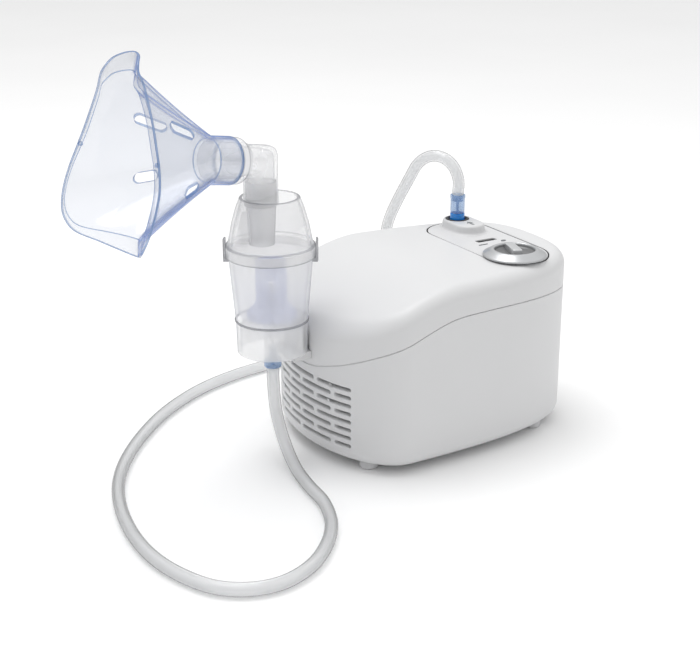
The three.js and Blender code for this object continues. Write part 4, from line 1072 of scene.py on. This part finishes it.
# for each ring: share of the way from port to rim, outward shift, shift along the arm, share of the lip, and whether
# the band from here to the next ring is a cut edge of the sheet, where the tint shows strongest
profile = [(0, 0, port_shift + 1.1, 0, False), (0, 0, -1.2, 0, False), (0, 0.12, 0.2, 0, False)]
profile += [(s, waist(s), 0.25, 0, False) for s in shares]
profile += [
    (0.975, 0.15, -0.5, 0, False), (0.99, 0.6, -0.62, 0, False), (1, 0, -0.6, 0.35, False),
    (1, -EDGE_LINE, -0.6, 1, True), (1, -0.25, -0.6, 1, True), (1, -0.05, -0.4, 1, True), (1, 0, 0, 1, True),
    (1, -0.05, 0.4, 1, True), (1, -0.25, 0.6, 1, True), (1, -EDGE_LINE, 0.6, 1, False), (1, 0, 0.6, 0.35, False),
    (1, -0.4, 0.6, 0, True), (1, -1.0, 0.45, 0, False), (0.99, -MASK_WALL + 0.1, 0.2, 0, False),
]
profile += [(s, waist(s) - MASK_WALL, 0.6, 0, False) for s in shares[::-1]]
profile += [
    (0, port_inset, 0.7, 0, True), (0, port_inset, -0.3, 0, False), (0, port_inset, port_shift + 1.0, 0, True),
    (0, port_inset, port_shift + 0.3, 0, True), (0, port_inset + 0.3, port_shift, 0, True),
    (0, -0.3, port_shift, 0, True), (0, 0, port_shift + 0.35, 0, True),
]
mask = skin("mask_pvc", [mask_ring(*ring[:4]) for ring in profile], looped=True, sharp=60.0,
            edges=[ring[4] for ring in profile])
# each vent's direction round the mask, its distance from the port, and its half length
VENTS = [(51, 27.2, 8.5), (129, 27.2, 8.5), (-32, 22.5, 5.5), (-148, 22.5, 5.5)]
vents = []
for n, (degrees, along, half_length) in enumerate(VENTS):
    axes = ARM[0] @ about_z(math.radians(degrees)) @ ALONG_X[0]
    centre = ARM[0] @ np.array([0, 0, MASK_PORT["end"] + along]) + ARM[1]
    vents.append(prism(f"vent_{n}", racetrack(0, 0, 2.5, half_length, 16), 8, 45, (axes, centre)))
holes = [prism(f"strap_{n}", circle(side * 31.8, 2, 1.1, 24), 80, 100, ARM) for n, side in enumerate((1, -1))]
for cutter in vents + holes:  # what they cut takes the sheet's edge colour
    cutter.data.polygons.foreach_set("material_index", [1] * len(cutter.data.polygons))
mask.data.materials.append(PVC)
mask.data.materials.append(PVC_EDGE)
carve(mask, "DIFFERENCE", *vents, *holes, sharp=50.0)
dress(mask, PVC, "mask", ["mask"])

# -------- carried-over CAD nodes
FINISHES = {
    "white_case": WHITE, "dark_plastic": DARK, "steel": STEEL, "white_inner": WHITE_INNER, "felt": FELT,
    "lamination_steel": LAMINATION, "copper_wire": COPPER, "aluminium": ALUMINIUM, "bronze": BRONZE,
    "black_rubber": BLACK_RUBBER, "silicone": SILICONE, "brown_wire": BROWN_WIRE, "blue_wire": BLUE_WIRE,
}
# widths of the eased edges, millimetres
BEVELLED = {"kit_holder": 0.6, "mains_inlet": 0.5, "filter_cover": 0.35, "filter_housing": 0.3, "inlet_pin_left": 0.3,
            "inlet_pin_right": 0.3, "cooling_fan": 0.25, "cylinder_head": 0.4, "rotary_switch": 0.4}
slot_of = {part["node"]: part["material_slot"] for part in frame["record"]["subparts"]}
for name, node in frame["nodes"].items():
    if node.hide_render:
        continue
    node.data.materials.clear()
    node.data.materials.append(FINISHES[slot_of[name]])
    if name in BEVELLED:
        bevel = node.modifiers.new("eased", "BEVEL")
        bevel.width, bevel.segments = BEVELLED[name] * MM, 3
        bevel.limit_method, bevel.angle_limit = "ANGLE", math.radians(SHARP)

for leftover in (outer, shell):
    bpy.data.objects.remove(leftover)

# -------- floor, light and tone
FLOOR_REACH = 6000
corners = [(x * FLOOR_REACH, y * FLOOR_REACH, 0) for x, y in ((-1, -1), (1, -1), (1, 1), (-1, 1))]
floor = mesh_object("floor", corners, [(0, 1, 2, 3)])
floor_shader = Shader("pale_floor")
cloud = floor_shader.spread(floor_shader.noise(3.0), 0, 1)
floor_shader.set(
    Base_Color=floor_shader.mix(cloud, (0.93, 0.93, 0.93), (0.95, 0.95, 0.95)),
    Roughness=0.7,
    Specular_IOR_Level=0.1,
)
floor.data.materials.append(floor_shader.material)

# a soft studio sky: bright overhead, dimmer low down, a little brighter on the device's tail side
SKY_LOW, SKY_HIGH, SKY_SIDE, SKY_TOP = 0.34, 0.98, 0.12, 0.7
world = bpy.data.worlds.new("studio")
world.use_nodes = True
sky = Nodes(world.node_tree)
direction = sky.node("ShaderNodeTexCoord").outputs["Generated"]
parts = sky.node("ShaderNodeSeparateXYZ", Vector=direction).outputs
height = sky.remap(parts["Z"], (0, SKY_TOP), (SKY_LOW, SKY_HIGH))
background = sky.tree.nodes["Background"]
sky.feed(background.inputs["Strength"], sky.arithmetic("MULTIPLY_ADD", parts["X"], SKY_SIDE, height))
sky.feed(background.inputs["Color"], (1, 1, 1))
scene.world = world

# one soft lamp overhead, a little behind the device; in metres and watts
LAMP = dict(at=(-0.12, 0.32, 1.35), toward=(0.05, 0, 0.05), size=0.9, energy=7.5)
light = bpy.data.lights.new("overhead", "AREA")
light.shape = "DISK"
light.size = LAMP["size"]
light.energy = LAMP["energy"]
lamp = linked("overhead", light)
lamp.location = LAMP["at"]
lamp.rotation_euler = (Vector(LAMP["toward"]) - Vector(LAMP["at"])).to_track_quat("-Z", "Y").to_euler()
scene.view_settings.view_transform = "Standard"
